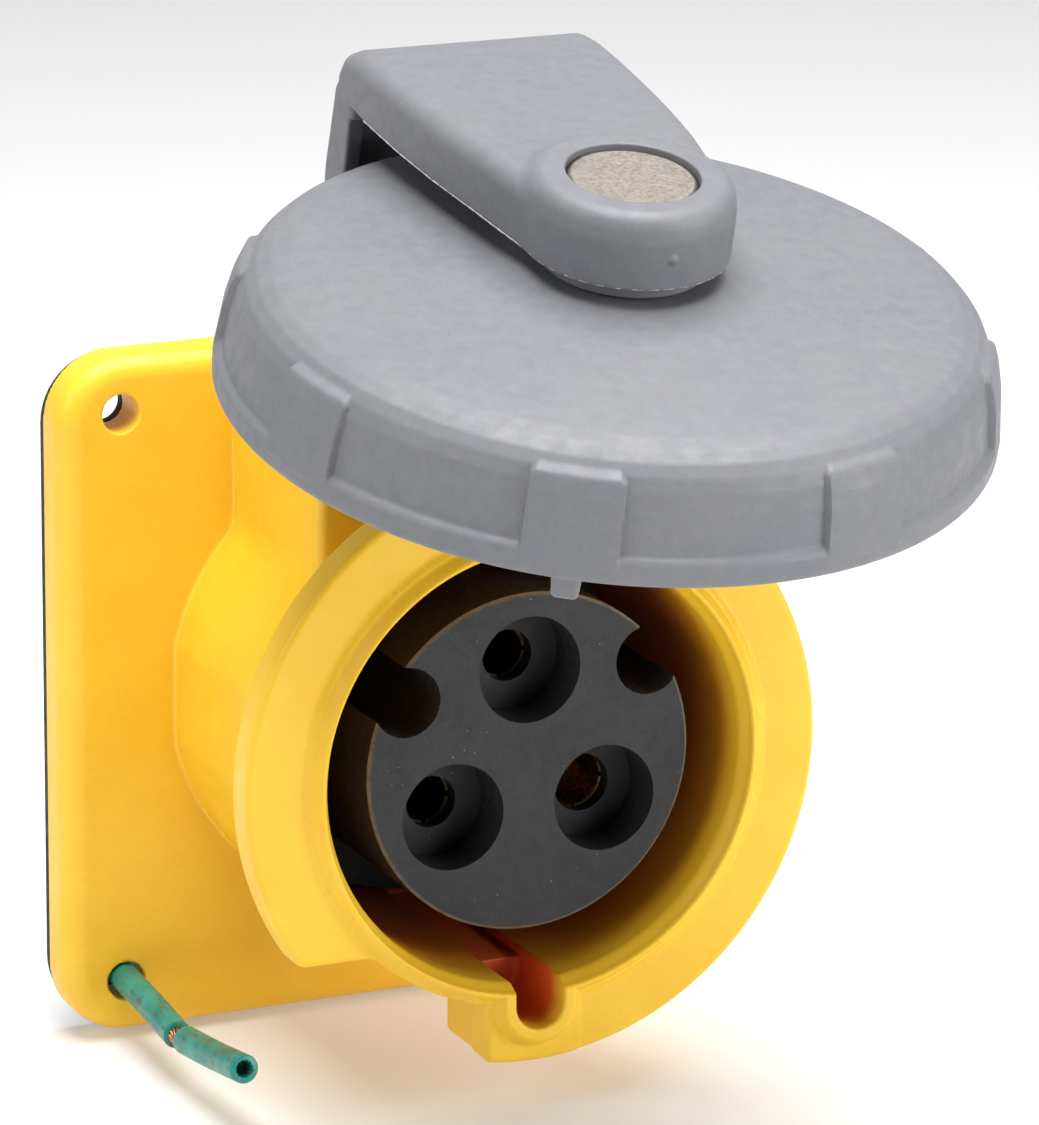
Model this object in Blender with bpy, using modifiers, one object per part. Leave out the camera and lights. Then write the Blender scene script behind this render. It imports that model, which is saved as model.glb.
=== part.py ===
"""A surface-mounted pin-and-sleeve power receptacle with its screw-down weather cap held open.

Metres, +Z up.  The plate stands in the XZ plane with its back at Y = 0 and the mouth faces -Y.
Most pieces are built in a barrel frame whose own Z is the outward direction (world -Y), whose
own X is world X and whose own Y is world Z.
"""
import math

import bmesh
import bpy
from mathutils import Vector

# ---- driving dimensions ---------------------------------------------------------------------
GAP = 0.0003                    # clearance kept between pieces that rest on each other
PLATE_SIDE = 0.1514             # square flange, edge to edge
PLATE_BACK = 0.0028             # the flange starts in front of its gasket
PLATE_FRONT = 0.0135
PLATE_CORNER = 0.015
PLATE_ROUND = 0.0052            # rounding of the flange's front edge
HOLE_X = 0.0619                 # mounting holes, half spacing each way
HOLE_Z = 0.0635
HOLE_RADIUS = 0.0042
GASKET_INSET = 0.0002           # the gasket stays inside the flange by this much

BARREL_RADIUS = 0.0510
BORE_RADIUS = 0.0470
LIP_RADIUS = 0.0522             # foot of the sealing bead on the collar's face
LIP_FRONT = 0.0943
COLLAR_RADIUS = 0.0650
COLLAR_FRONT = 0.0909
COLLAR_BACK = 0.0823
FLOOR_FRONT = 0.0220            # the shelf that the contact carrier is screwed to
FLOOR_BACK = 0.0120
FLOOR_HOLE = 0.0285
REAR_RECESS = 0.0465
LABEL_FLAT = 0.0499             # distance of the flat on the barrel's left side from the axis

KEY_WIDTH = 0.0109
KEY_BOTTOM = 0.0568
KEY_BACK = 0.0705
KEY_BLOCK_HALF = 0.0107
KEY_BLOCK_RADIUS = 0.0647
KEY_BLOCK_BACK = 0.0692
GAP_SIDE_X = -0.0107            # the bayonet gap: one wall upright, one wall level
GAP_TOP_Z = -0.0375

HINGE_OUT = 0.04585             # pivot of the cap arm, in front of the panel
HINGE_UP = 0.0710
HINGE_OPEN = 76.44              # degrees that the cap stands open
EAR_OUTSIDE = 0.0363
EAR_INSIDE = 0.0288
EAR_FRONT = 0.0606
EAR_TOP = 0.0805
PIN_RADIUS = 0.0024

INSERT_RADIUS = 0.0366
INSERT_FRONT = 0.0874
INSERT_FLANGE = 0.0455
INSERT_FLANGE_FRONT = 0.0285
SOCKET_CIRCLE = 0.0200
SOCKET_ANGLES = {"contact_line_1": 90.0, "contact_line_2": 210.0, "contact_earth": 330.0}
WELL_RADIUS = 0.0115
WELL_FLOOR = 0.0757
NOTCHES = {"left": (150.0, 0.0321), "right": (34.9, 0.0333)}
NOTCH_RADIUS = 0.0075
NOTCH_FLOOR = 0.0345

REAR_BACK = -0.0280             # rear end of the terminal block, inside the enclosure
REAR_RADIUS = 0.0400
CONTACT_BACK = -0.0200

CAP_LIP = 0.0785                # the closed cap's rim, in front of the panel
CAP_RADIUS = 0.0791
CAP_WALL_RADIUS = 0.0774        # just above the rim band; the wall leans in from there
CAP_BAND = 0.0052
CAP_CROWN = 0.0305             # top of the cap, where the spacer stands
CAP_PAD_HALF = 7.0              # degrees
CAP_PAD_ANGLES = [-165.0 + 45.0 * number for number in range(8)]
LUG_ANGLES = [-120.0, 60.0]
RIVET_TOP = 0.0493              # above the cap's rim plane
RIVET_RADIUS = 0.0129
BOSS_RADIUS = 0.0208
BOSS_TOP = 0.0503
BOSS_BOTTOM = 0.0365
ARM_HALF = 0.0282

SLEEVE_FRONT = 0.0719           # front of the brass sleeves
CLAMP_HEIGHT = -0.0110          # where the wire clamp screws cross the sleeves
SCREW_RADIUS = 0.0030
LUG_DROP = -0.0062              # how far the cap's lugs reach past its rim

WIRE_RADIUS = 0.0028
# x, z and distance in front of the panel, along the lead
LEAD_ROUTE = [(0.0173, -0.0100, -0.0205), (0.0173, -0.0110, -0.0320), (0.0080, -0.0280, -0.0400),
              (-0.0150, -0.0520, -0.0380), (-0.0420, -0.0620, -0.0280), (-0.0585, -0.0632, -0.0130),
              (-0.0620, -0.0626, 0.0020), (-0.0623, -0.0626, 0.0150), (-0.0626, -0.0634, 0.0300),
              (-0.0632, -0.0650, 0.0463)]
STRAND_ROUTE = [(-0.0630, -0.0650, 0.0469), (-0.0628, -0.0651, 0.0480), (-0.0626, -0.0651, 0.0491)]
SLEEVE_ROUTE = [(-0.0624, -0.0651, 0.0498), (-0.0623, -0.0633, 0.0650), (-0.0625, -0.0605, 0.0830)]
TURN = 48                       # sides of the large round shapes

HOUSE = "pin_and_sleeve_receptacle"


# ---- scene and helpers ----------------------------------------------------------------------
for old in list(bpy.data.objects):
    bpy.data.objects.remove(old, do_unlink=True)

parts = bpy.data.collections.new(HOUSE)
cutters = bpy.data.collections.new("cutters")
for group in (parts, cutters):
    bpy.context.scene.collection.children.link(group)


def material(name, colour, roughness, metallic=0.0):
    made = bpy.data.materials.new(name)
    made.use_nodes = True
    shader = made.node_tree.nodes["Principled BSDF"]
    shader.inputs["Base Color"].default_value = (*colour, 1.0)
    shader.inputs["Roughness"].default_value = roughness
    shader.inputs["Metallic"].default_value = metallic
    return made


YELLOW = material("yellow_nylon", (0.90, 0.55, 0.04), 0.45)
GREY = material("grey_nylon", (0.34, 0.36, 0.39), 0.50)
DARK = material("black_insert_plastic", (0.035, 0.035, 0.037), 0.50)
RUBBER = material("black_rubber", (0.030, 0.026, 0.024), 0.80)
SEAL = material("grey_seal_rubber", (0.10, 0.10, 0.11), 0.80)
BRASS = material("brass", (0.72, 0.50, 0.20), 0.30, 1.0)
NICKEL = material("nickel", (0.60, 0.57, 0.52), 0.30, 1.0)
STEEL = material("stainless_steel", (0.55, 0.55, 0.56), 0.30, 1.0)
COPPER = material("copper", (0.60, 0.25, 0.12), 0.35, 1.0)
GREEN = material("green_pvc", (0.01, 0.24, 0.19), 0.40)


def empty(name, location, rotation, parent=None):
    made = bpy.data.objects.new(name, None)
    made.location = location
    made.rotation_euler = rotation
    made.parent = parent
    parts.objects.link(made)
    return made


barrel_frame = empty("barrel_frame", (0, 0, 0), (math.radians(90), 0, 0))
hinge_frame = empty("hinge_frame", (0, -HINGE_OUT, HINGE_UP), (math.radians(90 - HINGE_OPEN), 0, 0))
cap_frame = empty("cap_frame", (0, -HINGE_UP, CAP_LIP - HINGE_OUT), (0, 0, 0), hinge_frame)


def place(thing, frame, look, cutter):
    """Put an object in its collection, under its frame, with its material."""
    thing.parent = frame
    for user in list(thing.users_collection):
        user.objects.unlink(thing)
    (cutters if cutter else parts).objects.link(thing)
    if cutter:
        thing.hide_render = True
        thing.display_type = "WIRE"
    else:
        thing.data.materials.append(look)
    return thing


def from_bmesh(name, build, frame, look=None, cutter=False):
    mesh = bpy.data.meshes.new(name)
    build.to_mesh(mesh)
    build.free()
    return place(bpy.data.objects.new(name, mesh), frame, look, cutter)


def box(name, low, high, frame, look=None, cutter=False):
    """A box between two corners."""
    build = bmesh.new()
    bmesh.ops.create_cube(build, size=1.0)
    low, high = Vector(low), Vector(high)
    for corner in build.verts:
        corner.co = Vector(((low[i] + high[i]) / 2 + corner.co[i] * (high[i] - low[i]) for i in range(3)))
    return from_bmesh(name, build, frame, look, cutter)


def rod(name, radius, low, high, frame, centre=(0, 0), look=None, cutter=False, sides=24):
    """A cylinder along the frame's Z."""
    build = bmesh.new()
    bmesh.ops.create_cone(build, cap_ends=True, segments=sides, radius1=radius, radius2=radius,
                          depth=high - low)
    bmesh.ops.translate(build, verts=build.verts, vec=(*centre, (low + high) / 2))
    return from_bmesh(name, build, frame, look, cutter)


def cross_rod(name, radius, left, right, frame, centre, look=None, cutter=False, sides=24):
    """A cylinder along the frame's X, at centre = (y, z)."""
    made = rod(name, radius, left, right, frame, look=look, cutter=cutter, sides=sides)
    for corner in made.data.vertices:
        x, y, z = corner.co
        corner.co = (z, y + centre[0], -x + centre[1])
    return made


def turned(name, profile, frame, centre=(0, 0), look=None, cutter=False, steps=TURN):
    """A profile of (radius, height) points, listed down the outer side, turned about Z."""
    build = bmesh.new()
    ring = [build.verts.new((radius, 0, height)) for radius, height in profile]
    for start, end in zip(ring, ring[1:] + ring[:1]):
        if start.co.x > 0 or end.co.x > 0:
            build.edges.new((start, end))
    made = from_bmesh(name, build, frame, look, cutter)
    made.location = (*centre, 0)
    screw = made.modifiers.new("turn", "SCREW")
    screw.steps = steps
    screw.render_steps = steps
    screw.use_merge_vertices = True
    screw.merge_threshold = 0.00002
    made.data.shade_smooth()
    return made


def prism(name, outline, low, high, frame, look=None, cutter=False):
    """A closed outline of (x, y) points, counterclockwise, extruded along Z."""
    build = bmesh.new()
    corners = [build.verts.new((x, y, low)) for x, y in outline]
    floor = build.faces.new(corners)
    grown = bmesh.ops.extrude_face_region(build, geom=[floor])
    lifted = [item for item in grown["geom"] if isinstance(item, bmesh.types.BMVert)]
    bmesh.ops.translate(build, verts=lifted, vec=(0, 0, high - low))
    bmesh.ops.recalc_face_normals(build, faces=build.faces)
    return from_bmesh(name, build, frame, look, cutter)


def side_prism(name, outline, left, right, frame, look=None, cutter=False):
    """A closed outline of (y, z) points extruded along X."""
    made = prism(name, outline, left, right, frame, look, cutter)
    for corner in made.data.vertices:
        x, y, z = corner.co
        corner.co = (z, x, y)
    return made


def arc(centre, radius, start, end, count):
    """Points of a round stretch, angles in degrees."""
    turns = [math.radians(start + (end - start) * i / count) for i in range(count + 1)]
    return [(centre[0] + radius * math.cos(t), centre[1] + radius * math.sin(t)) for t in turns]


def rounded_square(half, corner, count=6):
    inner = half - corner
    points = []
    for number, (sx, sy) in enumerate(((1, 1), (-1, 1), (-1, -1), (1, -1))):
        points += arc((sx * inner, sy * inner), corner, 90 * number, 90 * number + 90, count)
    return points


def combine(target, other, operation):
    """Cut a tool from an object, or join a piece to it."""
    change = target.modifiers.new(other.name, "BOOLEAN")
    change.operation = operation
    change.object = other
    change.solver = "EXACT"


def cut(target, *tools):
    for tool in tools:
        combine(target, tool, "DIFFERENCE")


def join(target, *pieces):
    for piece in pieces:
        combine(target, piece, "UNION")


def polar(angle, radius):
    return (radius * math.cos(math.radians(angle)), radius * math.sin(math.radians(angle)))


# ---- the yellow housing -----------------------------------------------------------------------
def make_housing():
    """Flange, barrel, bayonet collar, sealing lip, keyway and hinge ears in one moulding."""
    ease = 0.0014                           # the collar's rounded edges
    barrel = [
        (0.0494, LIP_FRONT), (0.0504, 0.0932), (LIP_RADIUS, COLLAR_FRONT),
        (COLLAR_RADIUS - ease, COLLAR_FRONT), (COLLAR_RADIUS, COLLAR_FRONT - ease),
        (COLLAR_RADIUS, COLLAR_BACK + ease), (COLLAR_RADIUS - ease, COLLAR_BACK),
        (BARREL_RADIUS + 0.0015, COLLAR_BACK), (BARREL_RADIUS, COLLAR_BACK - 0.0015),
        (BARREL_RADIUS, 0.0060),
        (REAR_RECESS, 0.0060), (REAR_RECESS, FLOOR_BACK), (FLOOR_HOLE, FLOOR_BACK),
        (FLOOR_HOLE, FLOOR_FRONT), (BORE_RADIUS - 0.0006, FLOOR_FRONT), (BORE_RADIUS, 0.0926),
        (0.0484, LIP_FRONT),
    ]
    housing = turned("housing", barrel, barrel_frame, look=YELLOW)

    plate = prism("flange_plate", rounded_square(PLATE_SIDE / 2, PLATE_CORNER), PLATE_BACK,
                  PLATE_FRONT, barrel_frame, cutter=True)
    rounding = plate.modifiers.new("front_edge", "BEVEL")
    rounding.width = PLATE_ROUND
    rounding.segments = 3
    rounding.limit_method = "WEIGHT"
    weights = plate.data.attributes.new("bevel_weight_edge", "FLOAT", "EDGE")
    for edge in plate.data.edges:
        ends = [plate.data.vertices[i].co.z for i in edge.vertices]
        weights.data[edge.index].value = 1.0 if min(ends) > PLATE_FRONT - 0.0001 else 0.0
    opening = rod("flange_opening", (BARREL_RADIUS + REAR_RECESS) / 2, 0.0, 0.02, barrel_frame,
                  cutter=True, sides=TURN)
    cut(plate, opening)

    keyway_block = prism("keyway_block", [(-KEY_BLOCK_HALF, -0.0490)]
                         + arc((0, 0), KEY_BLOCK_RADIUS, -99.52, -80.48, 4) + [(KEY_BLOCK_HALF, -0.0490)],
                         KEY_BLOCK_BACK, COLLAR_FRONT - 0.0004, barrel_frame, cutter=True)
    ear_side = [(0.030, PLATE_FRONT - 0.001), (0.068, PLATE_FRONT - 0.001), (0.0735, 0.0290)]
    ear_side += arc((EAR_TOP - 0.0105, 0.0440), 0.0105, -30, 40, 4)
    ear_side += [(0.0720, EAR_FRONT), (0.030, EAR_FRONT)]
    hinge_block = side_prism("hinge_block", ear_side, -EAR_OUTSIDE, EAR_OUTSIDE, barrel_frame,
                             cutter=True)
    slot_side = [(0.0590, 0.0320), (0.100, 0.0230), (0.100, 0.0700), (0.0590, 0.0700)]
    ear_slot = side_prism("ear_slot", slot_side, -EAR_INSIDE, EAR_INSIDE, barrel_frame, cutter=True)
    barrel_inside = rod("barrel_inside", (BORE_RADIUS + BARREL_RADIUS) / 2, 0.01, 0.10, barrel_frame,
                        cutter=True, sides=TURN)
    cut(hinge_block, ear_slot, barrel_inside)
    join(housing, plate, keyway_block, hinge_block)

    key_half = KEY_WIDTH / 2
    key_outline = [(key_half, -0.0400), (-key_half, -0.0400)]
    key_outline += arc((0, -KEY_BOTTOM + key_half), key_half, 180, 360, 8)
    keyway = prism("keyway", key_outline, KEY_BACK, 0.1000, barrel_frame, cutter=True)
    groove_outline = [(key_half, -0.0400), (-key_half, -0.0400), (-key_half, -0.0487),
                      (key_half, -0.0487)]
    groove = prism("key_groove", groove_outline, FLOOR_FRONT + 0.0001, 0.0750, barrel_frame, cutter=True)

    # Two opposite gaps let the cap's lugs pass the collar.
    ring_cut = COLLAR_RADIUS + 0.003
    floor_cut = BARREL_RADIUS + 0.0004
    level = math.degrees(math.asin(GAP_TOP_Z / floor_cut))
    upright = -90 + math.degrees(math.asin(GAP_SIDE_X / floor_cut))
    gap_outline = arc((0, 0), floor_cut, upright, -180 - level, 8)
    gap_outline += [(-0.070, GAP_TOP_Z), (-0.070, -0.075), (GAP_SIDE_X, -0.075)]
    gap_span = (COLLAR_BACK - 0.004, COLLAR_FRONT + 0.0001)
    gap_low = prism("bayonet_gap_low", gap_outline, *gap_span, barrel_frame, cutter=True)
    gap_high = prism("bayonet_gap_high", [(-x, -y) for x, y in gap_outline], *gap_span, barrel_frame,
                     cutter=True)
    flat = box("label_flat", (-ring_cut, -0.020, PLATE_FRONT + 0.0002),
               (-LABEL_FLAT, 0.020, COLLAR_BACK - 0.0002), barrel_frame, cutter=True)
    pin_bore = cross_rod("pin_bore", PIN_RADIUS + GAP, -0.05, 0.05, barrel_frame, (HINGE_UP, HINGE_OUT),
                         cutter=True, sides=16)
    cut(housing, keyway, groove, gap_low, gap_high, flat, pin_bore)
    for number, (sx, sy) in enumerate(((-1, 1), (1, 1), (-1, -1), (1, -1))):
        cut(housing, rod(f"mounting_hole_{number}", HOLE_RADIUS, -0.01, 0.03, barrel_frame,
                         (sx * HOLE_X, sy * HOLE_Z), cutter=True, sides=20))
    for side, (angle, radius) in NOTCHES.items():
        cut(housing, rod(f"screw_hole_{side}", 0.0023 + GAP, 0.0, 0.05, barrel_frame, polar(angle, radius),
                         cutter=True, sides=12))
    return housing


def make_gasket():
    gasket = prism("mounting_gasket", rounded_square(PLATE_SIDE / 2 - GASKET_INSET, PLATE_CORNER), 0.0,
                   PLATE_BACK - GAP, barrel_frame, RUBBER)
    cut(gasket, rod("gasket_opening", 0.0480, -0.01, 0.01, barrel_frame, cutter=True, sides=TURN))
    for number, (sx, sy) in enumerate(((-1, 1), (1, 1), (-1, -1), (1, -1))):
        cut(gasket, rod(f"gasket_hole_{number}", HOLE_RADIUS, -0.01, 0.03, barrel_frame,
                        (sx * HOLE_X, sy * HOLE_Z), cutter=True, sides=20))
    return gasket


# ---- contact carrier and what it holds ---------------------------------------------------------
def socket_cutters(frame_name):
    """Tools for the three wells, the holes behind them and the sleeves' chambers."""
    tools = []
    for name, angle in SOCKET_ANGLES.items():
        hole, chamber = (0.0063, 0.0079) if "earth" in name else (0.0056, 0.0073)
        well = [(0.0, 0.0950), (WELL_RADIUS, 0.0950), (WELL_RADIUS, WELL_FLOOR), (hole, WELL_FLOOR),
                (hole, 0.0722), (chamber, 0.0722), (chamber, 0.0100), (0.0, 0.0100)]
        tools.append(turned(f"{frame_name}_well_{name}", well, barrel_frame, polar(angle, SOCKET_CIRCLE),
                            cutter=True, steps=20))
    for side, (angle, radius) in NOTCHES.items():
        tools.append(rod(f"{frame_name}_screw_hole_{side}", 0.0023 + GAP, 0.0, 0.05, barrel_frame,
                         polar(angle, radius), cutter=True, sides=12))
    return tools


def make_insert():
    """The dark contact carrier with three wells and two screw channels, and the flange under it."""
    profile = [(0.0, INSERT_FRONT), (INSERT_RADIUS - 0.0007, INSERT_FRONT),
               (INSERT_RADIUS, INSERT_FRONT - 0.0007), (INSERT_RADIUS, INSERT_FLANGE_FRONT + GAP),
               (0.0, INSERT_FLANGE_FRONT + GAP)]
    insert = turned("contact_carrier", profile, barrel_frame, look=DARK)
    cut(insert, *socket_cutters("carrier"))
    for side, (angle, radius) in NOTCHES.items():
        cut(insert, rod(f"notch_{side}", NOTCH_RADIUS, NOTCH_FLOOR, 0.10, barrel_frame, polar(angle, radius),
                        cutter=True, sides=20))
    flange = rod("carrier_flange", INSERT_FLANGE, FLOOR_FRONT + GAP, INSERT_FLANGE_FRONT, barrel_frame,
                 look=DARK, sides=TURN)
    cut(flange, *socket_cutters("flange"))


def make_insert_screws():
    for side, (angle, radius) in NOTCHES.items():
        head = NOTCH_FLOOR + GAP
        profile = [(0.0, head + 0.0030), (0.0040, head + 0.0030), (0.0046, head + 0.0022), (0.0046, head),
                   (0.0023, head), (0.0023, 0.0130), (0.0, 0.0130)]
        screw = turned(f"carrier_screw_{side}", profile, barrel_frame, polar(angle, radius), STEEL, steps=16)
        cross = 0.0006
        for name, size in (("a", (0.0030, cross)), ("b", (cross, 0.0030))):
            slot = box(f"drive_{side}_{name}", (-size[0], -size[1], head + 0.0012), (size[0], size[1], 0.05),
                       barrel_frame, cutter=True)
            slot.location = (*polar(angle, radius), 0)
            cut(screw, slot)


def make_contacts():
    """Slit brass sleeves, each with a ring spring and a rear hole for its conductor."""
    for name, angle in SOCKET_ANGLES.items():
        bore, outer = (0.0061, 0.0076) if "earth" in name else (0.0051, 0.0070)
        spot = polar(angle, SOCKET_CIRCLE)
        groove = outer - 0.0009
        profile = [(0.0, SLEEVE_FRONT), (outer - 0.0004, SLEEVE_FRONT), (outer, SLEEVE_FRONT - 0.0004),
                   (outer, 0.0660), (groove, 0.0660), (groove, 0.0630), (outer, 0.0630), (outer, 0.0240),
                   (0.0070, 0.0234), (0.0070, CONTACT_BACK), (0.0, CONTACT_BACK)]
        sleeve = turned(name, profile, barrel_frame, spot, BRASS, steps=24)
        cut(sleeve, rod(f"{name}_pin_hole", bore, 0.0200, 0.10, barrel_frame, spot, cutter=True, sides=24),
            rod(f"{name}_lead_hole", 0.0040, -0.05, 0.0010, barrel_frame, spot, cutter=True, sides=16))
        for letter, wide, deep in (("a", 0.010, 0.0005), ("b", 0.0005, 0.010)):
            slit = box(f"{name}_slit_{letter}", (-wide, -deep, 0.0420), (wide, deep, 0.10), barrel_frame,
                       cutter=True)
            slit.location = (*spot, 0)
            cut(sleeve, slit)
        away = math.radians(angle)
        hole = rod(f"{name}_clamp_hole", SCREW_RADIUS + GAP, 0.0, 0.020, barrel_frame, cutter=True, sides=16)
        hole.location = (*spot, CLAMP_HEIGHT)
        hole.rotation_euler = (0, math.radians(90), away)
        cut(sleeve, hole)

        turned(f"{name}_ring_spring", [(groove + 0.0009, 0.0656), (groove + 0.0009, 0.0634),
                                       (groove + GAP, 0.0634), (groove + GAP, 0.0656)],
               barrel_frame, spot, STEEL, steps=20)

        screw = turned(f"{name}_clamp_screw",
                       [(0.0, 0.0180), (0.0024, 0.0180), (SCREW_RADIUS, 0.0174), (SCREW_RADIUS, 0.0045),
                        (0.0, 0.0045)], barrel_frame, (0, 0), STEEL, steps=16)
        screw.location = (*spot, CLAMP_HEIGHT)
        screw.rotation_euler = (0, math.radians(90), away)
        drive = box(f"{name}_screw_drive", (-0.0004, -0.004, 0.0166), (0.0004, 0.004, 0.020), barrel_frame,
                    cutter=True)
        drive.location = screw.location
        drive.rotation_euler = screw.rotation_euler
        cut(screw, drive)


def make_terminal_block():
    """The insulating block behind the shelf that closes in the wire clamps."""
    profile = [(0.0, FLOOR_BACK - GAP), (REAR_RADIUS, FLOOR_BACK - GAP), (REAR_RADIUS, REAR_BACK + 0.002),
               (REAR_RADIUS - 0.002, REAR_BACK), (0.0, REAR_BACK)]
    block = turned("terminal_block", profile, barrel_frame, look=DARK)
    for name, angle in SOCKET_ANGLES.items():
        spot = polar(angle, SOCKET_CIRCLE)
        cut(block, rod(f"{name}_rear_chamber", 0.0073, CONTACT_BACK - GAP, 0.05, barrel_frame, spot,
                       cutter=True, sides=24),
            rod(f"{name}_lead_entry", 0.0052, -0.05, 0.0, barrel_frame, spot, cutter=True, sides=20))
        access = rod(f"{name}_screw_access", 0.0040, 0.0, 0.040, barrel_frame, cutter=True, sides=16)
        access.location = (*spot, CLAMP_HEIGHT)
        access.rotation_euler = (0, math.radians(90), math.radians(angle))
        cut(block, access)
    for side, (angle, radius) in NOTCHES.items():
        cut(block, rod(f"block_screw_hole_{side}", 0.0023 + GAP, 0.0, 0.05, barrel_frame,
                       polar(angle, radius), cutter=True, sides=12))
    return block


# ---- hinge and cover arm ------------------------------------------------------------------------
def make_hinge_pin():
    pin = cross_rod("hinge_pin", PIN_RADIUS, -EAR_OUTSIDE - 0.0030, EAR_OUTSIDE + 0.0030, barrel_frame,
                    (HINGE_UP, HINGE_OUT), STEEL, sides=16)
    for side, sign in (("left", -1), ("right", 1)):
        inner = sign * (EAR_OUTSIDE + GAP)
        outer = sign * (EAR_OUTSIDE + 0.0012)
        clip = cross_rod(f"hinge_clip_{side}", 0.0052, min(inner, outer), max(inner, outer), barrel_frame,
                         (HINGE_UP, HINGE_OUT), STEEL, sides=20)
        cut(clip, cross_rod(f"clip_bore_{side}", PIN_RADIUS + 0.00025, -0.05, 0.05, barrel_frame,
                            (HINGE_UP, HINGE_OUT), cutter=True, sides=16))
    return pin


def make_cover_arm():
    """A hollow-backed arm from the hinge knuckle, up past the cap's edge and over to its centre."""
    axis_y = HINGE_UP                       # the cap's axis below the hinge, in the hinge's frame
    rim = CAP_LIP - HINGE_OUT               # height of the cap's rim plane in the hinge's frame
    back = 0.0133                           # outer face of the leg, past the pivot
    side = arc((0.0, 0.0), 0.0080, 180, 350, 8)
    side += [(0.0115, 0.0120), (back, 0.0300), (back, rim + 0.0365)]
    side += arc((back - 0.0060, rim + 0.0365), 0.0060, 0, 82, 4)
    side += [(-axis_y + BOSS_RADIUS, rim + 0.0478), (-axis_y, rim + 0.0484), (-axis_y, rim + BOSS_BOTTOM),
             (-axis_y + BOSS_RADIUS, rim + BOSS_BOTTOM), (-0.0100, rim + 0.0333), (-0.0080, rim + 0.0290)]
    arm = side_prism("cover_arm", side, -ARM_HALF, ARM_HALF, hinge_frame, look=GREY)

    # From above the arm narrows from the hinge to the round boss.
    taper = [(ARM_HALF + 0.001, 0.030), (-ARM_HALF - 0.001, 0.030), (-ARM_HALF - 0.001, -0.006)]
    taper += arc((0, -axis_y), BOSS_RADIUS - 0.0006, 170, 370, 16)
    taper += [(ARM_HALF + 0.001, -0.006)]
    plan = prism("arm_plan", taper, -0.02, rim + 0.080, hinge_frame, cutter=True)
    combine(arm, plan, "INTERSECT")

    # Its long top edges are rounded off towards the hinge.
    shoulder = [(ARM_HALF + 0.001, -0.05), (ARM_HALF + 0.001, rim + 0.0340), (0.0225, rim + 0.0415),
                (0.0206, rim + 0.0600)]
    section = prism("arm_section", shoulder + [(-x, y) for x, y in reversed(shoulder)], -0.03, 0.12,
                    hinge_frame, cutter=True)
    section.rotation_euler = (math.radians(90), 0, 0)
    combine(arm, section, "INTERSECT")
    boss = turned("arm_boss", [(0.0, rim + BOSS_TOP), (BOSS_RADIUS - 0.0045, rim + BOSS_TOP),
                               (BOSS_RADIUS - 0.0012, rim + BOSS_TOP - 0.0016),
                               (BOSS_RADIUS, rim + BOSS_TOP - 0.0040), (BOSS_RADIUS, rim + BOSS_BOTTOM),
                               (0.0, rim + BOSS_BOTTOM)], hinge_frame, (0, -axis_y), cutter=True, steps=36)
    join(arm, boss)

    swing = turned("cap_sweep", [(0.0, rim + 0.0310), (0.0500, rim + 0.0300), (0.0740, rim + 0.0272),
                                 (CAP_RADIUS + 0.0008, rim + 0.0235), (CAP_RADIUS + 0.0008, rim - 0.0080),
                                 (0.0, rim - 0.0080)], hinge_frame, (0, -axis_y), cutter=True)
    cut(arm, swing)
    hollow = box("arm_hollow", (-ARM_HALF + 0.0040, -0.0420, rim + 0.0200),
                 (ARM_HALF - 0.0040, -0.0060, rim + 0.0385), hinge_frame, cutter=True)
    seat = RIVET_RADIUS + 0.0006
    shank = 0.0050 + GAP
    rivet_seat = turned("rivet_seat", [(0.0, rim + 0.07), (seat, rim + 0.07), (seat, rim + 0.0465),
                                       (shank, rim + 0.0465), (shank, rim), (0.0, rim)], hinge_frame,
                        (0, -axis_y), cutter=True, steps=24)
    knuckle_bore = cross_rod("knuckle_bore", PIN_RADIUS + GAP, -0.05, 0.05, hinge_frame, (0, 0),
                             cutter=True, sides=16)
    cut(arm, hollow, knuckle_bore, rivet_seat)
    return arm


def make_rivet():
    """The nickel head above the arm, its shank, and the flange that holds the cap from below."""
    head = [(0.0, RIVET_TOP), (RIVET_RADIUS - 0.0005, RIVET_TOP), (RIVET_RADIUS, RIVET_TOP - 0.0005),
            (RIVET_RADIUS, 0.0465 + GAP), (0.0050, 0.0465 + GAP), (0.0050, 0.0205), (0.0, 0.0205)]
    rivet = turned("pivot_rivet", head, cap_frame, look=NICKEL, steps=32)
    tail = turned("rivet_tail", [(0.0, 0.0222), (0.0085, 0.0222), (0.0080, 0.0200), (0.0, 0.0192)],
                  cap_frame, cutter=True, steps=32)
    join(rivet, tail)
    washer = turned("rivet_washer", [(0.0130, 0.0243), (0.0130, 0.0225), (0.0053, 0.0225),
                                     (0.0053, 0.0243)], cap_frame, look=STEEL, steps=32)
    spacer = turned("arm_spacer", [(0.0165, BOSS_BOTTOM - GAP), (0.0170, BOSS_BOTTOM - 0.0010),
                                   (0.0170, CAP_CROWN + GAP), (0.0053, CAP_CROWN + GAP),
                                     (0.0053, BOSS_BOTTOM - GAP)],
                    cap_frame, look=GREY, steps=32)
    return rivet, washer, spacer


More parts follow.
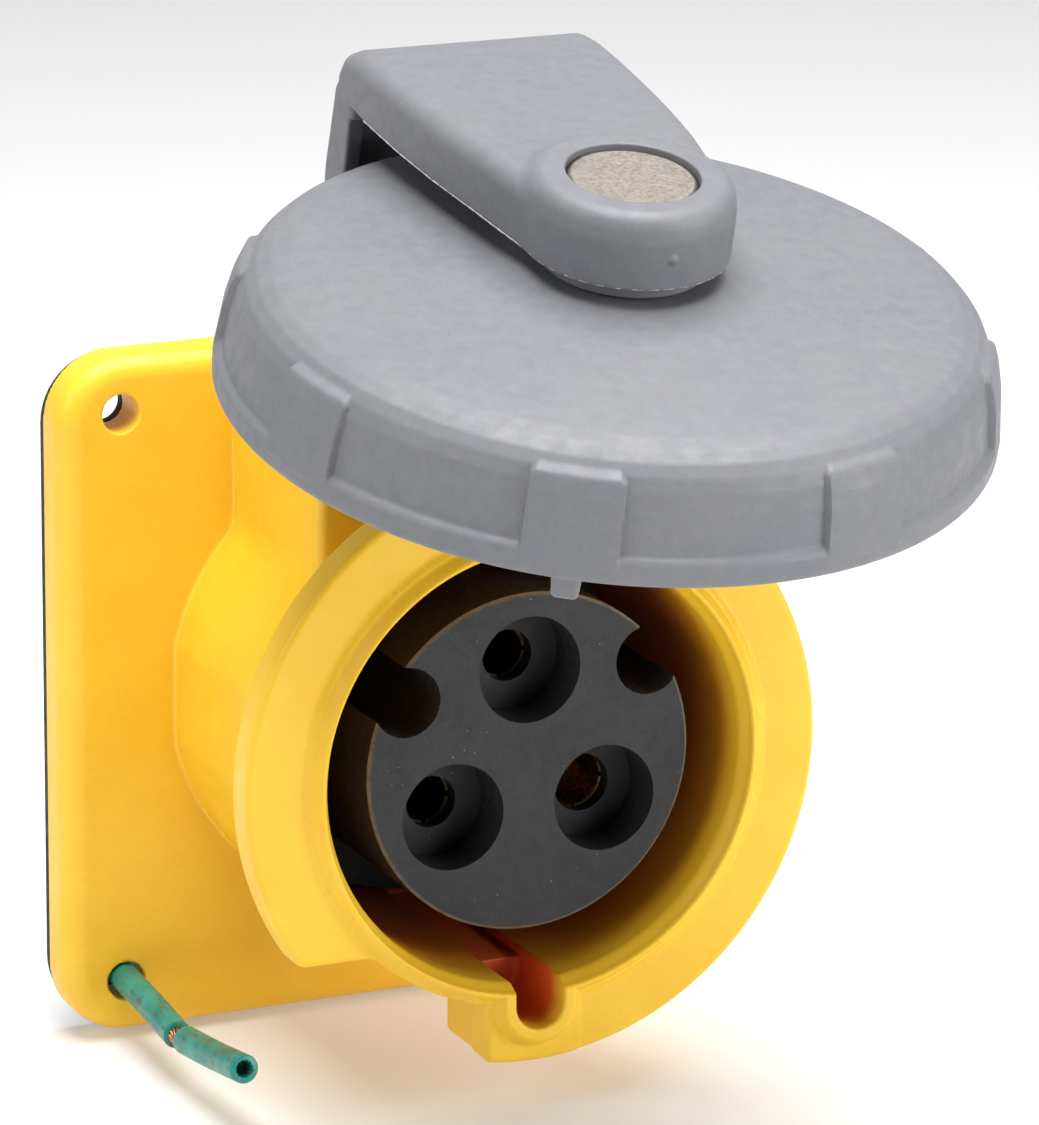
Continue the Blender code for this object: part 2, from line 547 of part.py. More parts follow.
# ---- the cap ---------------------------------------------------------------------------------------
def make_cap():
    """A shallow dished cap: raised rim band, castle pads, bayonet lugs and a seat for its seal."""
    wall = [(CAP_WALL_RADIUS - 0.0069, 0.0249), (CAP_WALL_RADIUS - 0.0044, 0.0238),
            (CAP_WALL_RADIUS - 0.0026, 0.0218), (CAP_WALL_RADIUS - 0.0016, 0.0185),
            (CAP_WALL_RADIUS - 0.0008, 0.0130)]
    crown = [(0.0, CAP_CROWN), (0.0200, CAP_CROWN), (0.0250, 0.0292), (0.0450, 0.0277), (0.0600, 0.0264)]
    rim = [(CAP_WALL_RADIUS, CAP_BAND + 0.0008), (CAP_RADIUS, CAP_BAND), (CAP_RADIUS, 0.0008),
           (CAP_RADIUS - 0.0008, 0.0), (CAP_WALL_RADIUS - 0.0027, 0.0)]
    inside = [(0.0727, 0.0165), (0.0690, 0.0210), (0.0570, 0.0228), (0.0570, 0.0204), (0.0430, 0.0204),
              (0.0430, 0.0240), (0.0220, 0.0252), (0.0, 0.0252)]
    cap = turned("cover_cap", crown + wall + rim + inside, cap_frame, look=GREY)

    pads = turned("pad_ring", [(CAP_WALL_RADIUS - 0.0022, 0.0236), (CAP_WALL_RADIUS - 0.0010, 0.0226),
                               (CAP_WALL_RADIUS - 0.0002, 0.0190), (CAP_WALL_RADIUS + 0.0006, 0.0130),
                               (CAP_RADIUS - 0.0002, 0.0030), (CAP_WALL_RADIUS - 0.0014, 0.0030),
                               (CAP_WALL_RADIUS - 0.0027, 0.0160), (CAP_WALL_RADIUS - 0.0060, 0.0228)],
                  cap_frame, cutter=True)
    pad_mask = None
    for number, angle in enumerate(CAP_PAD_ANGLES):
        outline = [polar(angle - CAP_PAD_HALF, 0.060), polar(angle - CAP_PAD_HALF, 0.095),
                   polar(angle + CAP_PAD_HALF, 0.095), polar(angle + CAP_PAD_HALF, 0.060)]
        wedge = prism(f"pad_wedge_{number}", outline, 0.0010, 0.0400, cap_frame, cutter=True)
        if pad_mask is None:
            pad_mask = wedge
        else:
            join(pad_mask, wedge)
    combine(pads, pad_mask, "INTERSECT")
    join(cap, pads)
    for number, angle in enumerate(LUG_ANGLES):
        lug = box(f"bayonet_lug_{number}", (0.0600, -0.0030, LUG_DROP), (0.0755, 0.0030, 0.0025), cap_frame,
                  cutter=True)
        web = box(f"lug_web_{number}", (0.0680, -0.0028, -0.0030), (0.0752, 0.0028, 0.0110), cap_frame,
                  cutter=True)
        lug.rotation_euler = (0, 0, math.radians(angle))
        web.rotation_euler = (0, 0, math.radians(angle))
        join(cap, lug, web)
    cut(cap, rod("cap_bore", 0.0050 + GAP, 0.0, 0.05, cap_frame, cutter=True))
    seal = turned("cap_seal", [(0.0560, 0.0201), (0.0560, 0.0165), (0.0555, 0.0161), (0.0435, 0.0161),
                               (0.0430, 0.0165), (0.0430, 0.0201)], cap_frame, look=SEAL)
    return cap, seal


# ---- the green grounding lead --------------------------------------------------------------------
def smooth_route(points, steps):
    """A Catmull-Rom curve through the points."""
    ends = [2 * points[0] - points[1]] + points + [2 * points[-1] - points[-2]]
    route = []
    for a, b, c, d in zip(ends, ends[1:], ends[2:], ends[3:]):
        for i in range(steps):
            t = i / steps
            route.append(0.5 * (2 * b + (c - a) * t + (2 * a - 5 * b + 4 * c - d) * t ** 2
                                + (3 * b - a - 3 * c + d) * t ** 3))
    return route + [points[-1]]


def tube(name, points, radius, steps, look, resolution):
    curve = bpy.data.curves.new(name, "CURVE")
    curve.dimensions = "3D"
    curve.bevel_depth = radius
    curve.bevel_resolution = resolution
    curve.use_fill_caps = True
    spline = curve.splines.new("POLY")
    route = smooth_route([Vector(point) for point in points], steps)
    spline.points.add(len(route) - 1)
    for spot, place_at in zip(spline.points, route):
        spot.co = (*place_at, 1.0)
    return place(bpy.data.objects.new(name, curve), barrel_frame, look, False)


def make_lead():
    """Insulated lead from the earth clamp, round the flange's back and out through one hole."""
    tube("ground_lead", LEAD_ROUTE, WIRE_RADIUS, 4, GREEN, 2)
    tube("ground_lead_strands", STRAND_ROUTE, 0.0019, 1, COPPER, 2)
    tube("ground_lead_sleeve", SLEEVE_ROUTE, WIRE_RADIUS, 2, GREEN, 2)


make_housing()
make_gasket()
make_insert()
make_insert_screws()
make_contacts()
make_terminal_block()
make_hinge_pin()
make_cover_arm()
make_rivet()
make_cap()
make_lead()
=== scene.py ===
"""Looks of the pin-and-sleeve receptacle: moulded surfaces, materials, stage, light and camera.

The moulded pieces are surfaces of distance fields, so that each edge has the radius that the
mould gives it. A field is negative inside the plastic. All sizes are in metres, and each field is
written in its own piece's axes: x to the right, y up the panel and z out of it.
"""
import math

import bmesh
import bpy
import numpy as np
from mathutils import Matrix, Vector


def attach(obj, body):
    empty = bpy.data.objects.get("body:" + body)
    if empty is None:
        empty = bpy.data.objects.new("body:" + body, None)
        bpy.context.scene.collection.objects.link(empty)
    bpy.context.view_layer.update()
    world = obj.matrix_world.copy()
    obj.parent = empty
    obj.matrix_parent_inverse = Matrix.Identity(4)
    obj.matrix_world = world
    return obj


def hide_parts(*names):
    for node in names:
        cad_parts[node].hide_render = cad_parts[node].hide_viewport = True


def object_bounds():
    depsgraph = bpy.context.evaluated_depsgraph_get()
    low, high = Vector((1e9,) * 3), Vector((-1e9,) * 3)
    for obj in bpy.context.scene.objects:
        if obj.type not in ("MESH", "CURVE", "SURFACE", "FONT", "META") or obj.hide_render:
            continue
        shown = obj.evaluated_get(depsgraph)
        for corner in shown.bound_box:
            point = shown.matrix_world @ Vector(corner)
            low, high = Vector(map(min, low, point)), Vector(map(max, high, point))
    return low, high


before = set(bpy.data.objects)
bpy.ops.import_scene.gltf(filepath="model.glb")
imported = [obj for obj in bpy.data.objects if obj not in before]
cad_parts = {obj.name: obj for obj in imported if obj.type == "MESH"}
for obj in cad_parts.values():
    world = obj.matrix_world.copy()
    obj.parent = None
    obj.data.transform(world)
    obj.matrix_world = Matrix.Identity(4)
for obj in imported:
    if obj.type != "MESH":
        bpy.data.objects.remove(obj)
cad_low, cad_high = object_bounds()

# ---- sizes, as in the CAD where no note says otherwise -----------------------------------------
PLATE_HALF = 0.0757
PLATE_CORNER = 0.015
GAP = 0.0003                    # clearance between pieces that rest on each other
PLATE_FRONT = 0.0135
PLATE_BACK = 0.0028
PLATE_ROUND = 0.0052
HOLE_X = 0.0619
HOLE_Y = 0.0635
HOLE_RADIUS = 0.0042

BARREL = 0.0510
BORE = 0.0470
LIP_FRONT = 0.0943
COLLAR = 0.0650
COLLAR_FRONT = 0.0909
COLLAR_BACK = 0.0823
BEAD_FOOT = 0.0052              # where the bead meets the collar's face, outside the mouth's edge
BEAD_TOP = 0.0021
LABEL_FLAT = 0.0499
FLOOR_FRONT = 0.0220
FLOOR_BACK = 0.0120
FLOOR_HOLE = 0.0285
REAR_RECESS = 0.0465

KEY_HALF = 0.00545
KEY_BOTTOM = 0.0568
KEY_BACK = 0.0705
BLOCK_HALF = 0.0107
BLOCK_RADIUS = 0.0647
BLOCK_BACK = 0.0692
GAP_X = -0.0107
GAP_Y = -0.0375

HINGE_OUT = 0.04585
HINGE_UP = 0.0710
HINGE_OPEN = 76.44
EAR_OUT = 0.0363
EAR_IN = 0.0288
EAR_FRONT = 0.0606
EAR_TOP = 0.0805
PIN = 0.0024

INSERT = 0.0366
INSERT_FRONT = 0.0874
INSERT_FLANGE = 0.0455
INSERT_FLANGE_FRONT = 0.0285
SOCKET_CIRCLE = 0.0200
SOCKETS = {"contact_line_1": 90.0, "contact_line_2": 210.0, "contact_earth": 330.0}
WELL = 0.0115
WELL_FLOOR = 0.0757
NOTCHES = ((150.0, 0.0321), (34.9, 0.0333))
NOTCH = 0.0075
NOTCH_FLOOR = 0.0345
SCREW_HOLE = 0.0026
SLEEVE_FRONT = 0.0719
CONTACT_BACK = -0.0200
CLAMP_OUT = -0.0110             # where the wire clamp screws cross the sleeves
REAR = 0.0400
REAR_BACK = -0.0280

CAP_LIP = 0.0785
CAP = 0.0791
CAP_WALL = 0.0774
CAP_CROWN = 0.0305
CAP_PAD_HALF = 7.0
CAP_PAD_FIRST = -165.0
LUG_ANGLES = (-120.0, 60.0)
LUG_DROP = -0.0062
RIVET_TOP = 0.0493
RIVET = 0.0129
BOSS = 0.0208
BOSS_TOP = 0.0503
BOSS_BOTTOM = 0.0365
GATE_UP = 0.0412                # height of the gate's blob on the boss; not in the CAD
SKIRT = 0.0016                  # how far the boss reaches below its underside in the CAD
ARM_HALF = 0.0282

WIRE = 0.0031                   # radius; the CAD has 0.0028
STRAND = 0.00040
# x, y and distance in front of the panel, along the lead
LEAD_ROUTE = ((0.0173, -0.0100, -0.0205), (0.0173, -0.0110, -0.0320), (0.0080, -0.0280, -0.0400),
              (-0.0150, -0.0520, -0.0380), (-0.0420, -0.0620, -0.0280),
              (-0.0585, -0.0632, -0.0130), (-0.0617, -0.0625, 0.0020), (-0.0621, -0.0630, 0.0150),
              (-0.0625, -0.0638, 0.0300), (-0.0630, -0.0650, 0.0463))
STRAND_ROUTE = ((-0.0630, -0.0650, 0.0469), (-0.0628, -0.0651, 0.0480),
                (-0.0626, -0.0651, 0.0491))
SLEEVE_ROUTE = ((-0.0624, -0.0651, 0.0498), (-0.0623, -0.0633, 0.0650),
                (-0.0625, -0.0605, 0.0830))

CAMERA_ANGLES = (-24.53, 15.66, 0.43)           # azimuth, elevation and roll in degrees
CAMERA_TARGET = (0.00991, -0.0600, 0.03498)
CAMERA_DISTANCE = 1.39888
CAMERA_LENS = 211.83                            # millimetres, on a sensor 36 mm wide

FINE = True
CELL = 0.00062 if FINE else 0.0011              # grid of the moulded surfaces

# ---- axes of the three bodies ------------------------------------------------------------------
BARREL_AXES = Matrix.Rotation(math.radians(90), 4, "X")
HINGE_AXES = (Matrix.Translation((0, -HINGE_OUT, HINGE_UP))
              @ Matrix.Rotation(math.radians(90 - HINGE_OPEN), 4, "X"))
CAP_AXES = HINGE_AXES @ Matrix.Translation((0, -HINGE_UP, CAP_LIP - HINGE_OUT))


# ---- camera ------------------------------------------------------------------------------------
def make_camera():
    azimuth, elevation, roll = (math.radians(angle) for angle in CAMERA_ANGLES)
    away = Vector((math.sin(azimuth) * math.cos(elevation),
                   -math.cos(azimuth) * math.cos(elevation), math.sin(elevation)))
    right = (-away).cross(Vector((0, 0, 1))).normalized()
    up = right.cross(-away).normalized()
    across = math.cos(roll) * right + math.sin(roll) * up
    over = -math.sin(roll) * right + math.cos(roll) * up
    place = Vector(CAMERA_TARGET) + away * CAMERA_DISTANCE
    data = bpy.data.cameras.new("camera")
    data.sensor_width = 36
    data.sensor_fit = "AUTO"
    data.lens = CAMERA_LENS
    data.clip_start = 0.05
    data.clip_end = 20
    camera = bpy.data.objects.new("camera", data)
    bpy.context.scene.collection.objects.link(camera)
    camera.matrix_world = Matrix((
        (across.x, over.x, away.x, place.x), (across.y, over.y, away.y, place.y),
        (across.z, over.z, away.z, place.z), (0, 0, 0, 1)))
    bpy.context.scene.camera = camera


# ---- distance fields ---------------------------------------------------------------------------
def both(a, b, r=0.0):
    """Where a and b overlap, with their outer edge rounded to radius r."""
    if r <= 0:
        return np.maximum(a, b)
    return np.minimum(-r, np.maximum(a, b)) + np.hypot(np.maximum(a + r, 0), np.maximum(b + r, 0))


def either(a, b, r=0.0):
    """a and b together, with a fillet of radius r in the corner between them."""
    if r <= 0:
        return np.minimum(a, b)
    return np.maximum(r, np.minimum(a, b)) - np.hypot(np.maximum(r - a, 0), np.maximum(r - b, 0))


def less(a, b, r=0.0):
    """a without b, with the new edge rounded to radius r."""
    return both(a, -b, r)


def slab(v, low, high):
    """The layer between two heights."""
    return np.abs(v - (low + high) / 2) - (high - low) / 2


def disc(x, y, radius, centre=(0.0, 0.0)):
    return np.hypot(x - centre[0], y - centre[1]) - radius


def rounded_box(x, y, half_x, half_y, corner):
    """A rectangle with round corners."""
    dx, dy = np.abs(x) - half_x + corner, np.abs(y) - half_y + corner
    return (np.hypot(np.maximum(dx, 0), np.maximum(dy, 0)) + np.minimum(np.maximum(dx, dy), 0)
            - corner)


def capsule(x, y, low, high, radius):
    """An upright slot with round ends."""
    return np.hypot(x, y - np.clip(y, low, high)) - radius


def polygon(x, y, points):
    """Signed distance to a closed outline."""
    nearest = np.full(x.shape, 1e9)
    inside = np.zeros(x.shape, bool)
    for (ax, ay), (bx, by) in zip(points, points[1:] + points[:1]):
        ex, ey = bx - ax, by - ay
        wx, wy = x - ax, y - ay
        t = np.clip((wx * ex + wy * ey) / (ex * ex + ey * ey), 0, 1)
        nearest = np.minimum(nearest, (wx - ex * t) ** 2 + (wy - ey * t) ** 2)
        if ay != by:
            crossing = ((ay > y) != (by > y)) & (x < ex * (y - ay) / ey + ax)
            inside ^= crossing
    distance = np.sqrt(nearest)
    return np.where(inside, -distance, distance)


def polar(angle, radius):
    """The point at an angle in degrees and a distance from the middle."""
    return (radius * math.cos(math.radians(angle)), radius * math.sin(math.radians(angle)))


def ease(t):
    """A smooth step from 0 to 1."""
    t = np.clip(t, 0, 1)
    return t * t * (3 - 2 * t)


# ---- from a field to a mesh --------------------------------------------------------------------
def slopes(field, p, step=2e-5):
    """The field's gradient at each point."""
    columns = []
    for axis in range(3):
        ahead, behind = p.copy(), p.copy()
        ahead[:, axis] += step
        behind[:, axis] -= step
        columns.append((field(*ahead.T) - field(*behind.T)) / (2 * step))
    return np.stack(columns, 1)


def settle(field, p, rounds, reach):
    """Moves points onto the surface, by no more than reach in each round."""
    for _ in range(rounds):
        slope = slopes(field, p)
        size = np.maximum((slope ** 2).sum(1), 0.05)
        move = slope * (field(*p.T) / size)[:, None]
        length = np.linalg.norm(move, axis=1)
        p = p - move * np.minimum(1, reach / np.maximum(length, 1e-12))[:, None]
    return p


def surface(field, low, high, cell):
    """Vertices and quads of the surface where the field is zero, with one vertex for each grid
    cell that it crosses."""
    block = 20
    low = np.array(low, float) - 1.5 * cell
    count = np.ceil((np.array(high, float) + 1.5 * cell - low) / cell).astype(int) + 1
    blocks = np.ceil(count / block).astype(int)
    size = blocks * block + 2
    corner = np.stack(np.meshgrid(*[np.arange(n) for n in blocks], indexing="ij"), -1)
    corner = corner.reshape(-1, 3) * block
    middle = low + (corner + block / 2) * cell
    near = np.abs(field(*middle.T)) < block * cell * 0.5 * math.sqrt(3) * 1.25 + cell

    def number(i, j, k):
        return (i * size[1] + j) * size[2] + k

    cells, spots, quads = [], [], []
    steps = np.arange(block + 1)
    for start in corner[near]:
        i, j, k = np.meshgrid(*[start[axis] + steps for axis in range(3)], indexing="ij")
        value = field(low[0] + i * cell, low[1] + j * cell, low[2] + k * cell)
        sign = value < 0
        if sign.all() or not sign.any():
            continue
        total = np.zeros((block,) * 3)
        place = np.zeros((block,) * 3 + (3,))
        for axis in range(3):
            # Each cell has four edges along this axis.
            others = [a for a in range(3) if a != axis]
            for u in (0, 1):
                for v in (0, 1):
                    first = [slice(0, block)] * 3
                    first[others[0]] = slice(u, block + u)
                    first[others[1]] = slice(v, block + v)
                    second = list(first)
                    second[axis] = slice(1, block + 1)
                    a, b = value[tuple(first)], value[tuple(second)]
                    cut = (a < 0) != (b < 0)
                    t = np.where(cut, a / np.where(cut, a - b, 1), 0)
                    total += cut
                    place[..., axis] += np.where(cut, t, 0)
                    place[..., others[0]] += np.where(cut, u, 0)
                    place[..., others[1]] += np.where(cut, v, 0)
        crossed = total > 0
        inner = [grid[:block, :block, :block][crossed] for grid in (i, j, k)]
        cells.append(number(*inner))
        spots.append(np.stack(inner, 1) + place[crossed] / total[crossed][:, None])
        for axis in range(3):
            ahead = [slice(0, block)] * 3
            ahead[axis] = slice(1, block + 1)
            here = sign[:block, :block, :block]
            there = sign[tuple(ahead)]
            changes = here != there
            at = np.stack([grid[:block, :block, :block][changes] for grid in (i, j, k)], 1)
            b, c = (axis + 1) % 3, (axis + 2) % 3
            ring = []
            for db, dc in ((-1, -1), (0, -1), (0, 0), (-1, 0)):
                moved = at.copy()
                moved[:, b] += db
                moved[:, c] += dc
                ring.append(number(moved[:, 0], moved[:, 1], moved[:, 2]))
            ring = np.stack(ring, 1)
            flip = ~here[changes]
            ring[flip] = ring[flip][:, ::-1]
            quads.append(ring)
    cells = np.concatenate(cells)
    spots = low + np.concatenate(spots) * cell
    order = np.argsort(cells)
    cells, spots = cells[order], spots[order]
    quads = np.concatenate(quads)
    faces = np.searchsorted(cells, quads)
    faces = np.clip(faces, 0, len(cells) - 1)
    whole = (cells[faces] == quads).all(1)
    return spots, faces[whole]


def relax(p, faces, amount):
    """Moves each vertex part of the way to the middle of its neighbours."""
    total, number = np.zeros_like(p), np.zeros(len(p))
    for a, b in ((0, 1), (1, 2), (2, 3), (3, 0)):
        for one, other in ((a, b), (b, a)):
            np.add.at(total, faces[:, one], p[faces[:, other]])
            np.add.at(number, faces[:, one], 1)
    return p + amount * (total / np.maximum(number, 1)[:, None] - p)


def as_mesh(name, points, faces, axes):
    """Mesh data from points in some body's axes."""
    data = bpy.data.meshes.new(name)
    turn = np.array(axes.to_3x3())
    data.from_pydata((np.asarray(points) @ turn.T + np.array(axes.translation)).tolist(), [],
                     [tuple(face) for face in faces])
    data.validate()
    data.update()
    return data


def added(name, data):
    """An object with that data, in the scene."""
    piece = bpy.data.objects.new(name, data)
    bpy.context.scene.collection.objects.link(piece)
    return piece


def applied(piece):
    """Puts a piece's modifiers into its mesh."""
    graph = bpy.context.evaluated_depsgraph_get()
    data = bpy.data.meshes.new_from_object(piece.evaluated_get(graph))
    piece.modifiers.clear()
    piece.data = data
    return piece


def moulded(name, field, low, high, axes, node, body, look, cell=CELL, triangles=150000):
    """A piece from a field. Its flat parts get fewer, larger faces, and the normals come from
    the field itself."""
    p, faces = surface(field, low, high, cell)
    for _ in range(2):
        p = settle(field, p, 1, cell)
        p = relax(p, faces, 0.5)
    p = settle(field, p, 3, cell)
    piece = added(name, as_mesh(name, p, faces, Matrix.Identity(4)))
    if 2 * len(faces) > triangles:
        fewer = piece.modifiers.new("fewer", "DECIMATE")
        fewer.ratio = triangles / (2 * len(faces))
        applied(piece)
    data = piece.data
    p = np.zeros(len(data.vertices) * 3)
    data.vertices.foreach_get("co", p)
    p = settle(field, p.reshape(-1, 3), 2, cell / 2)
    normals = slopes(field, p)
    normals /= np.maximum(np.linalg.norm(normals, axis=1), 1e-9)[:, None]
    turn = np.array(axes.to_3x3())
    data.vertices.foreach_set("co", (p @ turn.T + np.array(axes.translation)).ravel())
    data.update()
    data.shade_smooth()
    data.normals_split_custom_set_from_vertices((normals @ turn.T).tolist())
    return finish_piece(piece, node, body, look)


def finish_piece(piece, node, body, look):
    """Gives a piece its look and its body, and hides the CAD node that it stands for, if any."""
    piece.data.materials.clear()
    piece.data.materials.append(LOOKS[look])
    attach(piece, body)
    if node:
        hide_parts(node)
    return piece


# ---- materials ---------------------------------------------------------------------------------
class Look:
    """A material and short ways to add nodes to it. Sizes in its patterns are in metres."""

    def __init__(self, name, roughness, metallic=0.0, **inputs):
        self.material = bpy.data.materials.new(name)
        self.material.use_nodes = True
        self.tree = self.material.node_tree
        self.shader = self.tree.nodes["Principled BSDF"]
        self.place = self.node("ShaderNodeTexCoord").outputs["Object"]
        self.put("Roughness", roughness)
        self.put("Metallic", metallic)
        for key, value in inputs.items():
            self.put(key.replace("_", " "), value)

    def node(self, kind, inputs=(), **settings):
        made = self.tree.nodes.new(kind)
        for key, value in settings.items():
            setattr(made, key, value)
        for key, value in inputs:
            self.feed(made.inputs[key], value)
        return made

    def feed(self, socket, value):
        if isinstance(value, bpy.types.NodeSocket):
            self.tree.links.new(value, socket)
        elif isinstance(value, tuple) and len(value) == 3 and socket.type == "RGBA":
            socket.default_value = (*value, 1.0)
        else:
            socket.default_value = value

    def put(self, name, value):
        self.feed(self.shader.inputs[name], value)

    def stretched(self, scale, turn=(0.0, 0.0, 0.0)):
        made = self.node("ShaderNodeMapping", [("Vector", self.place), ("Scale", scale),
                                               ("Rotation", turn)])
        return made.outputs["Vector"]

    def noise(self, size, detail=2.0, rough=0.55, place=None, warp=0.0):
        made = self.node("ShaderNodeTexNoise",
                         [("Vector", place or self.place), ("Scale", 1 / size), ("Detail", detail),
                          ("Roughness", rough), ("Distortion", warp)])
        return made.outputs["Fac"]

    def span(self, value, low, high, start=0.0, end=1.0):
        made = self.node("ShaderNodeMapRange",
                         [("Value", value), ("From Min", low), ("From Max", high),
                          ("To Min", start), ("To Max", end)], interpolation_type="SMOOTHSTEP")
        return made.outputs["Result"]

    def sum(self, kind, a, b=0.0):
        made = self.node("ShaderNodeMath", [(0, a), (1, b)], operation=kind)
        return made.outputs[0]

    def mix(self, factor, a, b):
        made = self.node("ShaderNodeMix", data_type="RGBA")
        for socket, value in zip((made.inputs[0], made.inputs[6], made.inputs[7]), (factor, a, b)):
            self.feed(socket, value)
        return made.outputs[2]

    def specks(self, spacing, size, share):
        """Round dots: one in each of some cells of that spacing."""
        made = self.node("ShaderNodeTexVoronoi", [("Vector", self.place), ("Scale", 1 / spacing)])
        near = self.span(made.outputs["Distance"], 0.6 * size / spacing, size / spacing, 1.0, 0.0)
        pick = self.node("ShaderNodeSeparateColor", [("Color", made.outputs["Color"])])
        return self.sum("MULTIPLY", near, self.sum("LESS_THAN", pick.outputs[0], share))

    def scratches(self, long, fine, low, turn):
        """Thin lines of about that length and width, where a stretched noise is high."""
        value = self.noise(1.0, 1.0, 0.5, self.stretched((1 / fine, 1 / long, 1 / fine), turn))
        where = self.span(self.noise(0.035, 1.0), 0.52, 0.62)
        return self.sum("MULTIPLY", self.span(value, low, low + 0.03), where)

    def bump(self, height, deep, under=None):
        made = self.node("ShaderNodeBump", [("Height", height), ("Distance", deep),
                                            ("Strength", 1.0)])
        if under is not None:
            self.feed(made.inputs["Normal"], under)
        return made.outputs["Normal"]

    def ring(self):
        """Distance from the barrel's axis, and the place along it (negative in front)."""
        parts = self.node("ShaderNodeSeparateXYZ", [("Vector", self.place)])
        x, z = parts.outputs["X"], parts.outputs["Z"]
        total = self.sum("ADD", self.sum("MULTIPLY", x, x), self.sum("MULTIPLY", z, z))
        return self.sum("SQRT", total), parts.outputs["Y"]

    def aside(self):
        """Distance to the side of the keyway's middle, and far more above the keyway."""
        parts = self.node("ShaderNodeSeparateXYZ", [("Vector", self.place)])
        side = self.sum("ABSOLUTE", parts.outputs["X"])
        return self.sum("ADD", side, self.span(parts.outputs["Z"], -0.040, -0.030))


def yellow_plastic():
    look = Look("yellow_moulded_nylon", 0.42, Specular_IOR_Level=0.42)
    colour = look.mix(look.span(look.noise(0.030, 3.0), 0.30, 0.70), YELLOW_DEEP, YELLOW_PALE)
    colour = look.mix(look.span(look.noise(0.0011, 3.0), 0.35, 0.80, 0.0, 0.22), colour,
                      YELLOW_GRAIN)
    flow = look.noise(0.012, 4.0, 0.65, look.stretched((0.5, 2.4, 0.7), (0.4, 0.2, 0.1)), 1.5)
    colour = look.mix(look.span(flow, 0.56, 0.74, 0.0, 0.16), colour, (1.0, 0.66, 0.07))
    colour = look.mix(look.specks(0.0085, 0.00022, 0.30), colour, (0.36, 0.17, 0.02))
    # Painted shade: deep in the mouth and down the keyway channel the colour turns orange, red and
    # brown. It stands for light that has passed through the plastic and bounced in these recesses.
    ring, out = look.ring()
    inside = look.span(ring, BORE + 0.0018, BORE + 0.0006, 0.0, 1.0)
    channel = look.sum("MULTIPLY", look.span(look.aside(), KEY_HALF + 0.0006, KEY_HALF),
                       look.span(ring, 0.0580, 0.0570))
    inside = look.sum("MULTIPLY", look.sum("MAXIMUM", inside, channel),
                      look.span(out, -FLOOR_BACK - 0.0030, -FLOOR_BACK - 0.0060))
    deep = look.sum("MULTIPLY", inside, look.span(out, -0.0905, -0.0800))
    colour = look.mix(look.sum("MULTIPLY", deep, 0.85), colour, YELLOW_PAINTED_SHADE_INSIDE)
    deep = look.sum("MULTIPLY", inside, look.span(out, -0.0830, -0.0600))
    colour = look.mix(look.sum("MULTIPLY", deep, 0.90), colour, YELLOW_PAINTED_SHADE_FAR_INSIDE)
    deep = look.sum("MULTIPLY", channel, look.span(out, -0.0925, -0.0860))
    colour = look.mix(look.sum("MULTIPLY", deep, 0.9), colour, YELLOW_PAINTED_SHADE_CHANNEL)
    rub = look.scratches(0.012, 0.00040, 0.74, (0.3, 0.9, 0.5))
    colour = look.mix(look.sum("MULTIPLY", rub, 0.25), colour, (1.0, 0.72, 0.20))
    look.put("Base Color", colour)
    look.put("Roughness", look.span(look.noise(0.005, 4.0), 0.30, 0.72, 0.34, 0.50))
    under = look.bump(look.noise(0.0075, 2.0), 0.00006)
    under = look.bump(look.noise(0.00050, 2.0), 0.000016, under)
    look.put("Normal", look.bump(rub, 0.00003, under))
    return look.material


def thin_flash():
    look = Look("thin_grey_flash", 0.45, Specular_IOR_Level=0.5)
    look.put("Base Color", look.mix(look.noise(0.0015, 3.0), FLASH_DARK, FLASH_PALE))
    look.put("Normal", look.bump(look.noise(0.0005, 2.0), 0.00003))
    return look.material


def grey_plastic():
    look = Look("grey_moulded_nylon", 0.5, Specular_IOR_Level=0.5)
    colour = look.mix(look.span(look.noise(0.028, 3.0), 0.32, 0.68), GREY_COOL, GREY_WARM)
    colour = look.mix(look.span(look.noise(0.0030, 4.0, 0.6), 0.34, 0.72, 0.0, 0.30), colour,
                      GREY_DUSTY)
    colour = look.mix(look.span(look.noise(0.00055, 2.0), 0.34, 0.76, 0.0, 0.28), colour,
                      GREY_GRAIN)
    colour = look.mix(look.specks(0.0090, 0.00024, 0.16), colour, (0.05, 0.05, 0.055))
    colour = look.mix(look.specks(0.0070, 0.00017, 0.20), colour, (0.40, 0.41, 0.44))
    rub = look.sum("MAXIMUM", look.scratches(0.016, 0.00050, 0.76, (0.2, 0.6, 1.1)),
                   look.scratches(0.008, 0.00042, 0.78, (1.2, 0.1, 0.4)))
    colour = look.mix(look.sum("MULTIPLY", rub, 0.25), colour, (0.40, 0.42, 0.46))
    look.put("Base Color", colour)
    look.put("Roughness", look.span(look.noise(0.004, 4.0), 0.30, 0.72, 0.44, 0.62))
    under = look.bump(look.noise(0.0065, 2.0), 0.00007)
    under = look.bump(look.noise(0.00048, 2.0), 0.000014, under)
    look.put("Normal", look.bump(rub, -0.00004, under))
    return look.material


